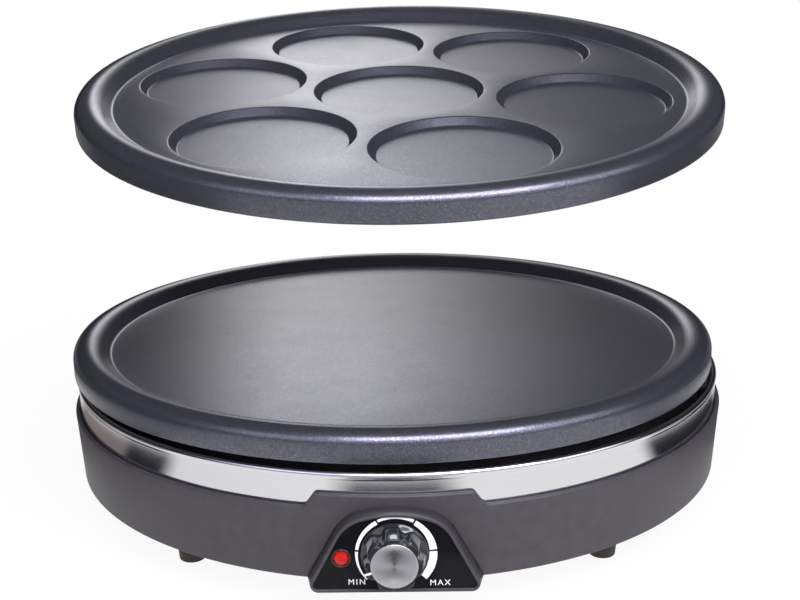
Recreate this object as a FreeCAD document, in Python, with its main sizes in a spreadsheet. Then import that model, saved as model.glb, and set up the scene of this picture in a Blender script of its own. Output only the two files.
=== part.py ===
import FreeCAD, Part
import math
import os
import re

import Sketcher
from FreeCAD import Placement, Rotation, Vector

# Electric crepe maker: a round housing with a steel band, a heated pan inside it, a crepe plate seated on
# the pan, and the second plate of the set, with wells for small pancakes, held above. Millimetres, Z up,
# origin on the floor under the middle of the housing, the control panel towards -Y.

os.makedirs("parts", exist_ok=True)
doc = FreeCAD.newDocument("crepe_maker")

# Driving sizes: alias, value, what it is
sizes = [
    ("foot_height", 14.4, "floor to the lower edge of the housing"),
    ("foot_top_radius", 7.4, "foot where it meets the cover"),
    ("foot_sole_radius", 6.2, "foot on the floor"),
    ("foot_inset", 15.9, "edge of the cover in to the middle of a foot"),
    ("foot_angle", 39.7, "foot to the front or rear centre line, degrees"),
    ("foot_recess", 7.0, "depth of the screw recess in a foot"),
    ("shell_height", 34.2, "housing wall"),
    ("shell_draft", 2.2, "how much wider the housing is at its top"),
    ("shell_wall", 2.4, "housing wall thickness"),
    ("ledge_drop", 4.6, "housing top edge down to the ledge that carries the band and the pan"),
    ("ledge_thickness", 2.5, "ledge"),
    ("ledge_width", 20.0, "ledge"),
    ("bump_cover", 5.0, "raised edge above the top of the control panel"),
    ("bump_half_width", 32.4, "level part of the raised edge"),
    ("bump_flare", 0.3, "outward lean of the raised edge"),
    ("ramp_angle", 55.0, "slope at the ends of the raised edge, degrees"),
    ("ramp_round", 3.0, "rounding of that slope"),
    ("post_inset", 11.55, "housing bore in to the middle of a cover screw post"),
    ("post_radius", 4.5, "cover screw post"),
    ("cook_radius", 150.0, "cooking face of both plates"),
    ("rim_width", 18.0, "rim of both plates"),
    ("rim_slope", 40.0, "inner side of the rim, degrees"),
    ("rim_run", 3.5, "straight part of that side, measured level"),
    ("cove_radius", 2.6, "hollow where the face meets the rim"),
    ("roll_radius", 6.5, "outer roll of the rim"),
    ("rim_drop", 7.8, "cooking face down to the rim's lower edge"),
    ("rim_wall", 3.6, "metal at the rim"),
    ("plate_thickness", 4.0, "plate under the cooking face"),
    ("skirt_inset", 12.5, "rim edge in to the ring that stands on the pan"),
    ("skirt_thickness", 3.5, "standing ring"),
    ("skirt_height", 8.6, "seat to cooking face"),
    ("crepe_plate_shift", -2.2, "the crepe plate lies this far to one side on its seat"),
    ("well_radius", 44.8, "well at its top edge"),
    ("well_side", 3.4, "how much smaller the floor of a well is"),
    ("well_depth", 4.0, "well"),
    ("well_circle", 97.4, "the six outer wells"),
    ("well_start", -71.7, "first outer well, degrees from the right"),
    ("pancake_x", 3.0, "middle of the pancake plate's face"),
    ("pancake_y", 18.3, "middle of the pancake plate's face"),
    ("pancake_z", 203.5, "middle of the pancake plate's face"),
    ("pancake_tilt", 11.0, "front edge lower, degrees"),
    ("rim_gap", 3.4, "rim edge down to the top of the band"),
    ("band_overhang", 0.7, "band outside the rim"),
    ("bead_radius", 1.85, "rolled bead along the top of the band"),
    ("bead_stand", 0.3, "bead outside the band's wall"),
    ("band_sheet", 0.6, "band"),
    ("band_gap", 0.15, "band to housing"),
    ("shell_overhang", 2.2, "housing top edge outside the band"),
    ("pan_sheet", 0.8, "pan"),
    ("pan_rise", 21.8, "ledge up to the plate seat"),
    ("pan_depth", 19.6, "plate seat down to the pan floor"),
    ("pan_gap", 5.5, "pan to the band's bead"),
    ("pan_foot", 10.0, "turned-in foot of the pan"),
    ("bowl_margin", 5.5, "standing ring in to the wall of the bowl"),
    ("guide_reach", 2.4, "guide out from the pan's wall"),
    ("guide_height", 9.5, "guide"),
    ("guide_drop", 7.0, "plate seat down to the foot of a guide"),
    ("guide_sheet", 0.6, "guide"),
    ("guide_start", -43.5, "first guide, degrees from the right"),
    ("screw_radius", 1.6, "all screws"),
    ("screw_fit", 0.05, "screw in the hole that it bites in"),
    ("screw_play", 0.2, "screw in the hole that it passes"),
    ("screw_head_radius", 3.2, "screw head"),
    ("screw_head_height", 1.8, "screw head"),
    ("element_radius", 3.25, "heating tube"),
    ("element_lift", 13.2, "pan floor up to the middle of the tube"),
    ("element_margin", 32.0, "outer ring inside the cooking face"),
    ("ring_spacing", 44.0, "outer ring to inner ring"),
    ("element_bend", 8.0, "bend of the legs"),
    ("element_first", -72.0, "outer end of the element, degrees from the right"),
    ("element_back", 236.0, "half turn of the element, degrees from the right"),
    ("element_last", -50.0, "inner end of the element, degrees from the right"),
    ("bushing_wall", 2.4, "ceramic bushing round a leg"),
    ("bushing_fit", 0.1, "bushing in the pan"),
    ("bushing_flange", 1.6, "flange of a bushing"),
    ("leg_length", 11.0, "leg below the pan"),
    ("element_gap", 0.05, "tube in its clips and bushings"),
    ("stud_length", 3.0, "stud at the end of a leg"),
    ("blade_width", 4.8, "spade terminal"),
    ("blade_sheet", 0.8, "spade terminal"),
    ("blade_height", 4.0, "spade terminal"),
    ("shield_margin", 10.0, "shield inside the cooking face"),
    ("shield_sheet", 0.6, "heat shield"),
    ("shield_drop", 4.0, "pan down to the shield"),
    ("cover_thickness", 2.4, "base cover"),
    ("cover_recess", 1.0, "cover inside the housing's lower edge"),
    ("cover_gap", 0.4, "cover to housing"),
    ("vent_length", 26.0, "vent slot"),
    ("vent_width", 3.6, "vent slot"),
    ("vent_circle", 62.0, "middle of the vent slots"),
    ("pod_reach", 7.6, "panel lip in front of the housing's top edge"),
    ("pod_height", 35.4, "panel"),
    ("pod_top_radius", 54.0, "top of the arch"),
    ("pod_top_angle", 15.0, "half of the top arc, degrees"),
    ("pod_shoulder_radius", 17.3, "shoulders of the arch"),
    ("pod_side_angle", 62.0, "where the shoulder ends, degrees"),
    ("pod_corner_radius", 3.6, "lower corners at the front"),
    ("pod_root_radius", 0.6, "lower corners where the pod meets the housing"),
    ("pod_flare", 0.3, "how much wider the pod is at its root"),
    ("pod_wall", 2.0, "pod wall"),
    ("pod_fit", 0.25, "pod in the housing's opening"),
    ("lip_width", 1.5, "raised lip round the panel"),
    ("lip_depth", 0.8, "lip in front of the face plate"),
    ("face_thickness", 1.2, "face plate"),
    ("face_fit", 0.1, "face plate inside the lip"),
    ("knob_rise", 17.3, "panel's lower edge up to the knob's axis"),
    ("knob_radius", 13.0, "knob at its lobes"),
    ("knob_skirt_radius", 14.2, "skirt of the knob"),
    ("knob_depth", 11.3, "face plate to the front of the knob"),
    ("knob_gap", 0.5, "knob to face plate"),
    ("knob_wall", 1.4, "knob wall under a groove"),
    ("groove_radius", 3.2, "groove between two lobes"),
    ("groove_depth", 1.8, "groove between two lobes"),
    ("cap_radius", 9.75, "metal disc on the knob"),
    ("cap_thickness", 1.0, "metal disc on the knob"),
    ("cap_seat", 0.6, "recess for the disc"),
    ("cap_fit", 0.1, "disc in its recess"),
    ("pointer_width", 0.8, "white bar"),
    ("pointer_height", 0.3, "white bar above the knob's front"),
    ("pointer_angle", 197.4, "white bar at rest, degrees from the right, seen from the front"),
    ("shaft_radius", 3.0, "thermostat shaft"),
    ("shaft_fit", 0.05, "running clearance round the shaft"),
    ("shaft_end", 3.0, "shaft inside the thermostat"),
    ("shaft_short", 0.3, "shaft short of the knob's inner face"),
    ("bush_radius", 5.0, "thermostat bush"),
    ("bush_fit", 0.2, "bush in the panel"),
    ("bracket_depth", 17.2, "face plate back to the thermostat bracket"),
    ("bracket_sheet", 1.2, "thermostat bracket"),
    ("bracket_screws", 18.5, "bracket screw to the panel's centre line"),
    ("bracket_drop", 10.5, "knob's axis down to the bracket screws"),
    ("panel_boss_radius", 3.2, "boss for a bracket screw"),
    ("thermostat_width", 28.0, "thermostat"),
    ("thermostat_drop", 9.0, "knob's axis down to the underside of the thermostat"),
    ("thermostat_gap", 0.8, "thermostat under the ledge"),
    ("thermostat_depth", 14.0, "thermostat"),
    ("lamp_inset", 7.4565, "panel's side in to the middle of the lamp"),
    ("lamp_rise", 15.6, "lamp above the panel's lower edge"),
    ("lamp_radius", 4.2, "bezel of the lamp"),
    ("lens_radius", 3.4, "lens"),
    ("lens_dome", 1.6, "lens in front of the face plate"),
    ("neon_depth", 14.0, "face plate back to the end of the neon lamp"),
    ("inlet_rise", 15.6, "cord inlet above the housing's lower edge"),
    ("inlet_reach", 9.1, "inlet boss behind the housing's top edge"),
    ("inlet_half", 12.0, "half of the inlet boss"),
    ("gland_radius", 7.0, "gland in its boss"),
    ("gland_fit", 0.1, "gland in its boss"),
    ("gland_collar", 9.0, "collar of the gland"),
    ("gland_reach", 7.5, "gland behind its boss"),
    ("gland_bore", 3.6, "hole for the cord"),
    ("sensor_radius", 2.5, "sensor bulb"),
    ("sensor_length", 60.0, "sensor bulb"),
    ("sensor_gap", 0.3, "sensor bulb to the plate"),
    ("sensor_fit", 0.05, "sensor bulb in its clip"),
    ("capillary_radius", 0.8, "tube from the bulb to the thermostat"),
    ("capillary_hole", 3.0, "hole that the tube passes"),
    ("fuse_radius", 3.0, "thermal fuse"),
    ("fuse_length", 30.0, "thermal fuse"),
    ("fuse_start", 10.0, "front end of the fuse behind the axis"),
    ("fuse_drop", 0.6, "shield to fuse"),
    ("fuse_fit", 0.05, "fuse in its clip"),
    ("block_length", 44.0, "terminal block"),
    ("block_depth", 18.0, "terminal block"),
    ("block_height", 15.0, "terminal block"),
    ("block_margin", 62.9, "edge of the cover in to the front of the terminal block"),
    ("pole_spacing", 14.0, "poles of the block"),
    ("pole_bore", 2.2, "screw pocket of a pole"),
    ("pole_depth", 6.0, "screw pocket of a pole"),
    ("earth_tag_radius", 4.0, "ring tag"),
    ("earth_tag_sheet", 1.0, "ring tag"),
    ("wire_radius", 1.2, "internal wires"),
    ("lead_radius", 0.7, "lamp leads"),
]

sheet = doc.addObject("Spreadsheet::Sheet", "Sizes")
aliases = set()
for row, (alias, number, note) in enumerate(sizes, start=1):
    sheet.set(f"A{row}", note)
    sheet.set(f"B{row}", str(number))
    sheet.setAlias(f"B{row}", alias)
    aliases.add(alias)
doc.recompute()


def value(expression):
    """Number that an expression in the sheet's own names comes to."""
    return float(sheet.evalExpression(str(expression)))


def tied(expression):
    """The same expression as another object has to write it."""
    def with_sheet(match):
        word = match.group()
        return f"Sizes.{word}" if word in aliases else word
    return re.sub(r"[a-z_]+\w*", with_sheet, str(expression))


def bind(thing, **properties):
    """Ties properties, such as Radius, to expressions in the sheet's names."""
    for name, expression in properties.items():
        thing.setExpression(name, tied(expression))
    return thing


def put(thing, x="0", y="0", z="0"):
    """Ties a thing's place; its turn stays as it is."""
    for letter, expression in (("x", x), ("y", y), ("z", z)):
        thing.setExpression(f"Placement.Base.{letter}", tied(expression))
    return thing


# Heights and radii that follow from the driving sizes
SHELL_TOP = "(foot_height + shell_height)"
LEDGE_TOP = f"({SHELL_TOP} - ledge_drop)"
LEDGE_BOTTOM = f"({LEDGE_TOP} - ledge_thickness)"
SEAT = f"({LEDGE_TOP} + band_sheet + pan_rise)"
FACE = f"({SEAT} + skirt_height)"
BEAD_TOP = f"({FACE} - rim_drop - rim_gap)"
PAN_FLOOR = f"({SEAT} - pan_depth)"
PAN_BOTTOM = f"({PAN_FLOOR} - pan_sheet)"
SHIELD_TOP = f"({PAN_BOTTOM} - shield_drop)"
SHIELD_BOTTOM = f"({SHIELD_TOP} - shield_sheet)"
ELEMENT_Z = f"({PAN_FLOOR} + element_lift)"
LEG_END = f"({PAN_BOTTOM} - leg_length)"
COVER_BOTTOM = "(foot_height + cover_recess)"
COVER_TOP = f"({COVER_BOTTOM} + cover_thickness)"
RIM_RADIUS = "(cook_radius + rim_width)"
SKIRT_OUTER = f"({RIM_RADIUS} - skirt_inset)"
SKIRT_INNER = f"({SKIRT_OUTER} - skirt_thickness)"
BAND_RADIUS = f"({RIM_RADIUS} + band_overhang)"
BAND_WALL = f"({BAND_RADIUS} - bead_stand)"
SHELL_BORE = f"({BAND_WALL} + band_gap)"
SHELL_TOP_RADIUS = f"({BAND_RADIUS} + shell_overhang)"
SHELL_FOOT_RADIUS = f"({SHELL_TOP_RADIUS} - shell_draft)"
COVER_RADIUS = f"({SHELL_FOOT_RADIUS} - shell_wall - cover_gap)"
POST_CIRCLE = f"({SHELL_BORE} - post_inset)"
FOOT_CIRCLE = f"({COVER_RADIUS} - foot_inset)"
PAN_RADIUS = f"({BAND_RADIUS} - 2 * bead_radius - pan_gap)"
BOWL_RADIUS = f"({SKIRT_INNER} - bowl_margin)"
RING_RADIUS = "(cook_radius - element_margin)"
INNER_RING = f"({RING_RADIUS} - ring_spacing)"
SHAFT_BORE = "(shaft_radius + shaft_fit)"
POD_FRONT = f"({SHELL_TOP_RADIUS} + pod_reach)"
PANEL_FACE = f"({POD_FRONT} - lip_depth)"
PANEL_BACK = f"({PANEL_FACE} - face_thickness - pod_wall)"
KNOB_Z = "(foot_height + knob_rise)"
LAMP_Z = "(foot_height + lamp_rise)"
BRACKET_FRONT = f"({PANEL_FACE} - bracket_depth)"
THERMOSTAT_FRONT = f"({BRACKET_FRONT} - bracket_sheet)"
THERMOSTAT_BACK = f"({THERMOSTAT_FRONT} - thermostat_depth)"
THERMOSTAT_LOW = f"({KNOB_Z} - thermostat_drop)"
THERMOSTAT_TOP = f"({LEDGE_BOTTOM} - thermostat_gap)"
BRACKET_SCREW_Z = f"({KNOB_Z} - bracket_drop)"
BLADE_END = f"({LEG_END} - stud_length / 2 - blade_height)"
SENSOR_Z = f"({FACE} - plate_thickness - sensor_gap - sensor_radius)"
FUSE_Z = f"({SHIELD_BOTTOM} - fuse_drop - fuse_radius)"
BLOCK_TOP = f"({COVER_TOP} + block_height)"
BLOCK_FRONT = f"({COVER_RADIUS} - block_margin)"
INLET_Z = "(foot_height + inlet_rise)"
INLET_END = f"({SHELL_TOP_RADIUS} + inlet_reach)"

FRONTWARD = Rotation(Vector(1, 0, 0), 90)
REARWARD = Rotation(Vector(1, 0, 0), -90)
pieces = []


def piece(thing, node):
    """Keeps a finished sub-part under its node name."""
    thing.Label = node
    pieces.append(thing)
    return thing


def plane(body, role):
    return next(item for item in body.Origin.OriginFeatures if item.Role == role)


def new_sketch(body, role, name):
    sketch = body.newObject("Sketcher::SketchObject", name)
    sketch.AttachmentSupport = [(plane(body, role), "")]
    sketch.MapMode = "FlatFace"
    return sketch


def arc_between(start, end, radius, turns_left):
    """The short arc from start to end, as a counter-clockwise sketch arc."""
    middle = (start + end) * 0.5
    along = end - start
    reach = math.sqrt(max(radius ** 2 - (along.Length / 2) ** 2, 0.0))
    side = Vector(-along.y, along.x, 0).normalize()
    centre = middle + side * (reach if turns_left else -reach)
    first, last = (start, end) if turns_left else (end, start)
    angles = [math.atan2(spot.y - centre.y, spot.x - centre.x) for spot in (first, last)]
    circle = Part.Circle(centre, Vector(0, 0, 1), radius)
    return Part.ArcOfCircle(circle, angles[0], angles[1])


def outline(sketch, corners):
    """Closed outline through tied corners. A corner is (x, y), or (x, y, "left" or "right", radius) when an
    arc that turns that way leaves it for the next corner."""
    spots = [Vector(value(corner[0]), value(corner[1]), 0) for corner in corners]
    count = len(corners)
    ends = []
    for index, corner in enumerate(corners):
        start, end = spots[index], spots[(index + 1) % count]
        if len(corner) == 2:
            sketch.addGeometry(Part.LineSegment(start, end), False)
            ends.append((1, 2))
            continue
        turns_left = corner[2] == "left"
        sketch.addGeometry(arc_between(start, end, value(corner[3]), turns_left), False)
        ends.append((1, 2) if turns_left else (2, 1))
    for index in range(count):
        following = (index + 1) % count
        joint = Sketcher.Constraint("Coincident", index, ends[index][1], following, ends[following][0])
        sketch.addConstraint(joint)
    for index, corner in enumerate(corners):
        tie(sketch, "DistanceX", (-1, 1, index, ends[index][0]), f"x{index}", corner[0])
        tie(sketch, "DistanceY", (-1, 1, index, ends[index][0]), f"y{index}", corner[1])
        if len(corner) == 4:
            tie(sketch, "Radius", (index,), f"bend{index}", corner[3])
    return sketch


def tie(sketch, kind, where, name, expression):
    number = sketch.addConstraint(Sketcher.Constraint(kind, *where, value(expression)))
    sketch.renameConstraint(number, name)
    sketch.setExpression(f"Constraints.{name}", tied(expression))


def turned(name, corners):
    """Body turned about its own Z axis from an outline of (radius, height) corners."""
    body = doc.addObject("PartDesign::Body", name)
    profile = outline(new_sketch(body, "XZ_Plane", name + "_profile"), corners)
    feature = body.newObject("PartDesign::Revolution", name + "_turn")
    feature.Profile = profile
    feature.ReferenceAxis = (profile, ["V_Axis"])
    feature.Angle = 360
    profile.Visibility = False
    return body


def slab(name, corners, depth):
    """Body with an outline in the XZ plane, thickened towards +Y."""
    body = doc.addObject("PartDesign::Body", name)
    profile = outline(new_sketch(body, "XZ_Plane", name + "_profile"), corners)
    feature = body.newObject("PartDesign::Pad", name + "_pad")
    feature.Profile = profile
    feature.Reversed = True
    bind(feature, Length=depth)
    return body


def cylinder(name, radius, height, turn=None):
    thing = doc.addObject("Part::Cylinder", name)
    bind(thing, Radius=radius, Height=height)
    if turn:
        thing.Placement = Placement(Vector(), turn)
    return thing


def box(name, length, width, height):
    thing = doc.addObject("Part::Box", name)
    bind(thing, Length=length, Width=width, Height=height)
    return thing


def standing(name, length, width, height, x, y, z):
    """Box with the middle of its base at a place."""
    return put(box(name, length, width, height), f"{x} - ({length}) / 2", f"{y} - ({width}) / 2", z)


def swung(name, thing, angle):
    """The thing swung about its own upright axis."""
    result = doc.addObject("Part::Compound", name)
    result.Links = [thing]
    result.Placement = Placement(Vector(), Rotation(Vector(0, 0, 1), value(angle)))
    result.setExpression("Placement.Rotation.Angle", tied(angle))
    return result


def fuse(name, things):
    if len(things) == 1:
        return things[0]
    result = doc.addObject("Part::MultiFuse", name)
    result.Shapes = list(things)
    return result


def group(name, things):
    """Several solids of one sub-part that don't touch, kept as one compound."""
    result = doc.addObject("Part::Compound", name)
    result.Links = list(things)
    return result


def cut(name, base, things):
    result = doc.addObject("Part::Cut", name)
    result.Base = base
    result.Tool = fuse(name + "_tools", things)
    return result


def around(circle, angle):
    """Tied X and Y of a place on a circle about the axis."""
    return f"{circle} * cos({angle})", f"{circle} * sin({angle})"


def spaced(first, count):
    """Angles of evenly spaced places, as expressions."""
    return [f"({first} + {index} * 360 / {count})" for index in range(count)]


# Plates

def plate_corners():
    """Half section of a plate, with height 0 at its cooking face."""
    flat_edge = "cook_radius - cove_radius * sin(rim_slope)"
    cove_top = "cove_radius * (1 - cos(rim_slope))"
    crest_radius = f"({RIM_RADIUS} - roll_radius)"
    crown = f"(({crest_radius} - cook_radius - rim_run) / sin(rim_slope))"
    slope_top = f"({cove_top} + rim_run * tan(rim_slope))"
    crest = f"({slope_top} + {crown} * (1 - cos(rim_slope)))"
    hollow = f"{crest} - rim_wall"
    return [
        ("0", "0"),
        (flat_edge, "0", "left", "cove_radius"),
        ("cook_radius", cove_top),
        ("cook_radius + rim_run", slope_top, "right", crown),
        (crest_radius, crest, "right", "roll_radius"),
        (RIM_RADIUS, f"{crest} - roll_radius"),
        (RIM_RADIUS, "-rim_drop"),
        (f"{RIM_RADIUS} - rim_wall", "-rim_drop"),
        (f"{RIM_RADIUS} - rim_wall", hollow),
        (SKIRT_OUTER, hollow),
        (SKIRT_OUTER, "-skirt_height"),
        (SKIRT_INNER, "-skirt_height"),
        (SKIRT_INNER, "-plate_thickness"),
        ("0", "-plate_thickness"),
    ]


def make_crepe_plate():
    plate = turned("crepe_plate", plate_corners())
    piece(put(plate, "crepe_plate_shift", "0", FACE), "crepe_plate")


def well(name, x, y, extra, top):
    """Cone of a well, or of its underside when extra metal is added."""
    cone = doc.addObject("Part::Cone", name)
    bind(cone, Radius1=f"well_radius - well_side + {extra}", Radius2=f"well_radius + {extra}")
    bind(cone, Height=f"well_depth + {top}")
    return put(cone, x, y, f"-well_depth - {extra}")


def make_pancake_plate():
    places = [("0", "0")] + [around("well_circle", angle) for angle in spaced("well_start", 6)]
    blank = turned("pancake_blank", plate_corners())
    bowls = [well(f"pancake_bowl{n}", x, y, "plate_thickness", "0") for n, (x, y) in enumerate(places)]
    wells = [well(f"pancake_well{n}", x, y, "0", "0") for n, (x, y) in enumerate(places)]
    plate = cut("pancake_plate", fuse("pancake_body", [blank] + bowls), wells)
    plate.Placement = Placement(Vector(), Rotation(Vector(1, 0, 0), value("pancake_tilt")))
    plate.setExpression("Placement.Rotation.Angle", tied("pancake_tilt"))
    piece(put(plate, "pancake_x", "pancake_y", "pancake_z"), "pancake_plate")


# Housing, band and cover

REACH = "(pod_top_radius - pod_shoulder_radius)"
SHOULDER_X = f"({REACH} * sin(pod_top_angle))"
SHOULDER_Z = f"(pod_height - pod_top_radius + {REACH} * cos(pod_top_angle))"
FLANK = f"({SHOULDER_X} * sin(pod_side_angle) + {SHOULDER_Z} * cos(pod_side_angle) + pod_shoulder_radius)"
LAMP_X = f"(lamp_inset - ({FLANK} - lamp_rise * cos(pod_side_angle)) / sin(pod_side_angle))"


def arch(inset="0", floor="0", corner="pod_corner_radius"):
    """Arched outline of the control panel, drawn in by an inset, with its foot raised to floor."""
    inset, floor, corner = f"({inset})", f"({floor})", f"({corner})"
    side = "pod_side_angle"
    shoulder = f"(pod_shoulder_radius - {inset})"
    top = f"(pod_top_radius - {inset})"
    flank = f"({FLANK} - {inset})"
    corner_z = f"({floor} + {corner})"
    corner_x = f"(({flank} - {corner} - {corner_z} * cos({side})) / sin({side}))"
    right = [
        (corner_x, floor, corner),
        (f"{corner_x} + {corner} * sin({side})", f"{corner_z} + {corner} * cos({side})", None),
        (f"{SHOULDER_X} + {shoulder} * sin({side})", f"{SHOULDER_Z} + {shoulder} * cos({side})", shoulder),
    ]
    top_x = f"{SHOULDER_X} + {shoulder} * sin(pod_top_angle)"
    top_z = f"{SHOULDER_Z} + {shoulder} * cos(pod_top_angle)"
    corners = [(x, z, "left", bend) if bend else (x, z) for x, z, bend in right]
    corners.append((top_x, top_z, "left", top))
    corners.append((f"-({top_x})", top_z, "left", shoulder))
    corners.append((f"-({right[2][0]})", right[2][1]))
    corners.append((f"-({right[1][0]})", right[1][1], "left", corner))
    corners.append((f"-{corner_x}", floor))
    return corners


def inner_drum(name, gap):
    """What lies inside the housing's wall: the pan and ledge above, the cover and hollow below."""
    upper = cylinder(name + "_upper", f"{SHELL_BORE} + {gap}", "3 * shell_height")
    lower = cylinder(name + "_lower", f"{COVER_RADIUS} + cover_gap - {gap}", f"{LEDGE_BOTTOM} - {gap}")
    return fuse(name, [put(upper, z=f"{LEDGE_BOTTOM} - {gap}"), put(lower)])


def raised_edge():
    """Part of the wall that stands up over the control panel, with a smooth ramp at each end."""
    top = "(foot_height + pod_height + bump_cover)"
    rise = f"({top} - {SHELL_TOP})"
    turn = "ramp_angle"
    slope = f"(({rise} - 2 * ramp_round * (1 - cos({turn}))) / tan({turn}))"
    bend_x = f"ramp_round * sin({turn})"
    bend_z = f"ramp_round * (1 - cos({turn}))"
    foot = f"(bump_half_width + 2 * {bend_x} + {slope})"
    ring = turned("bump_ring", [
        (SHELL_BORE, SHELL_TOP),
        (SHELL_TOP_RADIUS, SHELL_TOP),
        (f"{SHELL_TOP_RADIUS} + bump_flare", top),
        (SHELL_BORE, top),
    ])
    right = [
        (foot, "0"),
        (f"{foot} - {bend_x}", bend_z),
        (f"bump_half_width + {bend_x}", f"{rise} - {bend_z}"),
        ("bump_half_width", rise),
    ]
    ramp = slab("bump_ramp", [
        (*right[0], "right", "ramp_round"),
        right[1],
        (*right[2], "left", "ramp_round"),
        right[3],
        (f"-({right[3][0]})", right[3][1], "left", "ramp_round"),
        (f"-({right[2][0]})", right[2][1]),
        (f"-({right[1][0]})", right[1][1], "right", "ramp_round"),
        (f"-{right[0][0]}", right[0][1]),
    ], "2 * pod_height")
    put(ramp, y=f"-({SHELL_TOP_RADIUS} + 2 * bump_flare)", z=SHELL_TOP)
    bump = doc.addObject("Part::MultiCommon", "bump")
    bump.Shapes = [ring, ramp]
    return bump


PAN_SCREW_CIRCLE = f"({PAN_RADIUS} - pan_foot / 2)"
SCREW_CIRCLES = {"pan": (PAN_SCREW_CIRCLE, spaced("15", 6)), "cover": (POST_CIRCLE, spaced("0", 6))}
BITE = "(screw_radius + screw_fit)"
PASS = "(screw_radius + screw_play)"


def screw_holes(name, kind, radius, bottom, height):
    circle, angles = SCREW_CIRCLES[kind]
    holes = []
    for number, angle in enumerate(angles):
        hole = cylinder(f"{name}{number}", radius, height)
        holes.append(put(hole, *around(circle, angle), bottom))
    return holes


def make_housing():
    ledge_bore = f"{SHELL_BORE} - ledge_width"
    inner_foot = f"{SHELL_FOOT_RADIUS} - shell_wall"
    wall = turned("housing_wall", [
        (SHELL_FOOT_RADIUS, "foot_height"),
        (SHELL_TOP_RADIUS, SHELL_TOP),
        (SHELL_BORE, SHELL_TOP),
        (SHELL_BORE, LEDGE_TOP),
        (ledge_bore, LEDGE_TOP),
        (ledge_bore, LEDGE_BOTTOM),
        (f"{SHELL_BORE} - 0.3 * shell_wall", LEDGE_BOTTOM),
        (inner_foot, "foot_height"),
    ])
    posts = []
    for number, angle in enumerate(SCREW_CIRCLES["cover"][1]):
        post = cylinder(f"post{number}", "post_radius", f"{LEDGE_BOTTOM} - {COVER_TOP}")
        posts.append(put(post, *around(POST_CIRCLE, angle), COVER_TOP))
    block = box("inlet_block", "2 * inlet_half", f"{INLET_END} - cook_radius", "2 * inlet_half")
    put(block, "-inlet_half", "cook_radius", f"{INLET_Z} - inlet_half")
    inlet = cut("inlet", block, [inner_drum("inlet_drum", "0")])
    solid = fuse("housing_solid", [wall, raised_edge(), inlet] + posts)
    opening = slab("opening_arch", arch("-pod_flare - pod_fit", "-2 * pod_corner_radius"), "2 * pod_height")
    put(opening, y=f"-{POD_FRONT}", z="foot_height")
    kept = put(cylinder("opening_kept", SHELL_BORE, "2 * shell_height"), z=LEDGE_BOTTOM)
    opening = cut("opening", opening, [kept])
    bore = cylinder("inlet_bore", "gland_radius + gland_fit", "cook_radius", REARWARD)
    put(bore, y="cook_radius", z=INLET_Z)
    holes = screw_holes("ledge_hole", "pan", PASS, LEDGE_BOTTOM, "ledge_thickness")
    holes += screw_holes("post_hole", "cover", BITE, COVER_TOP, "shell_height / 2")
    piece(cut("housing", solid, [opening, bore] + holes), "housing")


def make_band():
    centre_r = f"({BAND_RADIUS} - bead_radius)"
    centre_z = f"({BEAD_TOP} - bead_radius)"
    inner = f"({BAND_WALL} - band_sheet)"
    drop_out = "sqrt(bead_radius^2 - (bead_radius - bead_stand)^2)"
    drop_in = "sqrt(bead_radius^2 - (bead_radius - bead_stand - band_sheet)^2)"
    lip = f"{SHELL_BORE} - ledge_width"
    ring = turned("band_ring", [
        (lip, LEDGE_TOP),
        (BAND_WALL, LEDGE_TOP),
        (BAND_WALL, f"{centre_z} - {drop_out}", "left", "bead_radius"),
        (centre_r, BEAD_TOP, "left", "bead_radius"),
        (f"{centre_r} - bead_radius", centre_z, "left", "bead_radius"),
        (inner, f"{centre_z} - {drop_in}"),
        (inner, f"{LEDGE_TOP} + band_sheet"),
        (lip, f"{LEDGE_TOP} + band_sheet"),
    ])
    holes = screw_holes("band_hole", "pan", PASS, LEDGE_TOP, "band_sheet")
    piece(cut("steel_band", ring, holes), "steel_band")


def make_cover():
    body = doc.addObject("PartDesign::Body", "base_cover_disc")
    disc = new_sketch(body, "XY_Plane", "cover_disc")
    disc.addGeometry(Part.Circle(Vector(), Vector(0, 0, 1), value(COVER_RADIUS)), False)
    disc.addConstraint(Sketcher.Constraint("Coincident", 0, 3, -1, 1))
    tie(disc, "Radius", (0,), "edge", COVER_RADIUS)
    pad = body.newObject("PartDesign::Pad", "cover_pad")
    pad.Profile = disc
    bind(pad, Length="cover_thickness")
    vent = new_sketch(body, "XY_Plane", "cover_vent")
    start, end = "(vent_circle - vent_length / 2)", "(vent_circle + vent_length / 2)"
    outline(vent, [
        (start, "-vent_width / 2"),
        (end, "-vent_width / 2"),
        (end, "vent_width / 2"),
        (start, "vent_width / 2"),
    ])
    pocket = body.newObject("PartDesign::Pocket", "cover_slot")
    pocket.Profile = vent
    pocket.Reversed = True
    bind(pocket, Length="cover_thickness")
    doc.recompute()
    ring = body.newObject("PartDesign::PolarPattern", "cover_vents")
    ring.Originals = [pocket]
    ring.Axis = (disc, ["N_Axis"])
    ring.Angle = 360
    ring.Occurrences = 24
    body.Tip = ring
    put(body, z=COVER_BOTTOM)
    bosses, drills = [body], screw_holes("cover_hole", "cover", PASS, COVER_BOTTOM, "cover_thickness")
    for number, angle in enumerate(FOOT_ANGLES.values()):
        boss = cylinder(f"foot_boss{number}", "post_radius", "2 * post_radius + cover_thickness")
        bosses.append(put(boss, *around(FOOT_CIRCLE, angle), COVER_BOTTOM))
        drill = cylinder(f"foot_drill{number}", BITE, "2 * post_radius")
        drills.append(put(drill, *around(FOOT_CIRCLE, angle), COVER_BOTTOM))
    piece(cut("base_cover", fuse("cover_solid", bosses), drills), "base_cover")


FOOT_ANGLES = {
    "foot_front_left": "(270 - foot_angle)",
    "foot_front_right": "(270 + foot_angle)",
    "foot_rear_right": "(90 - foot_angle)",
    "foot_rear_left": "(90 + foot_angle)",
}


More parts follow.
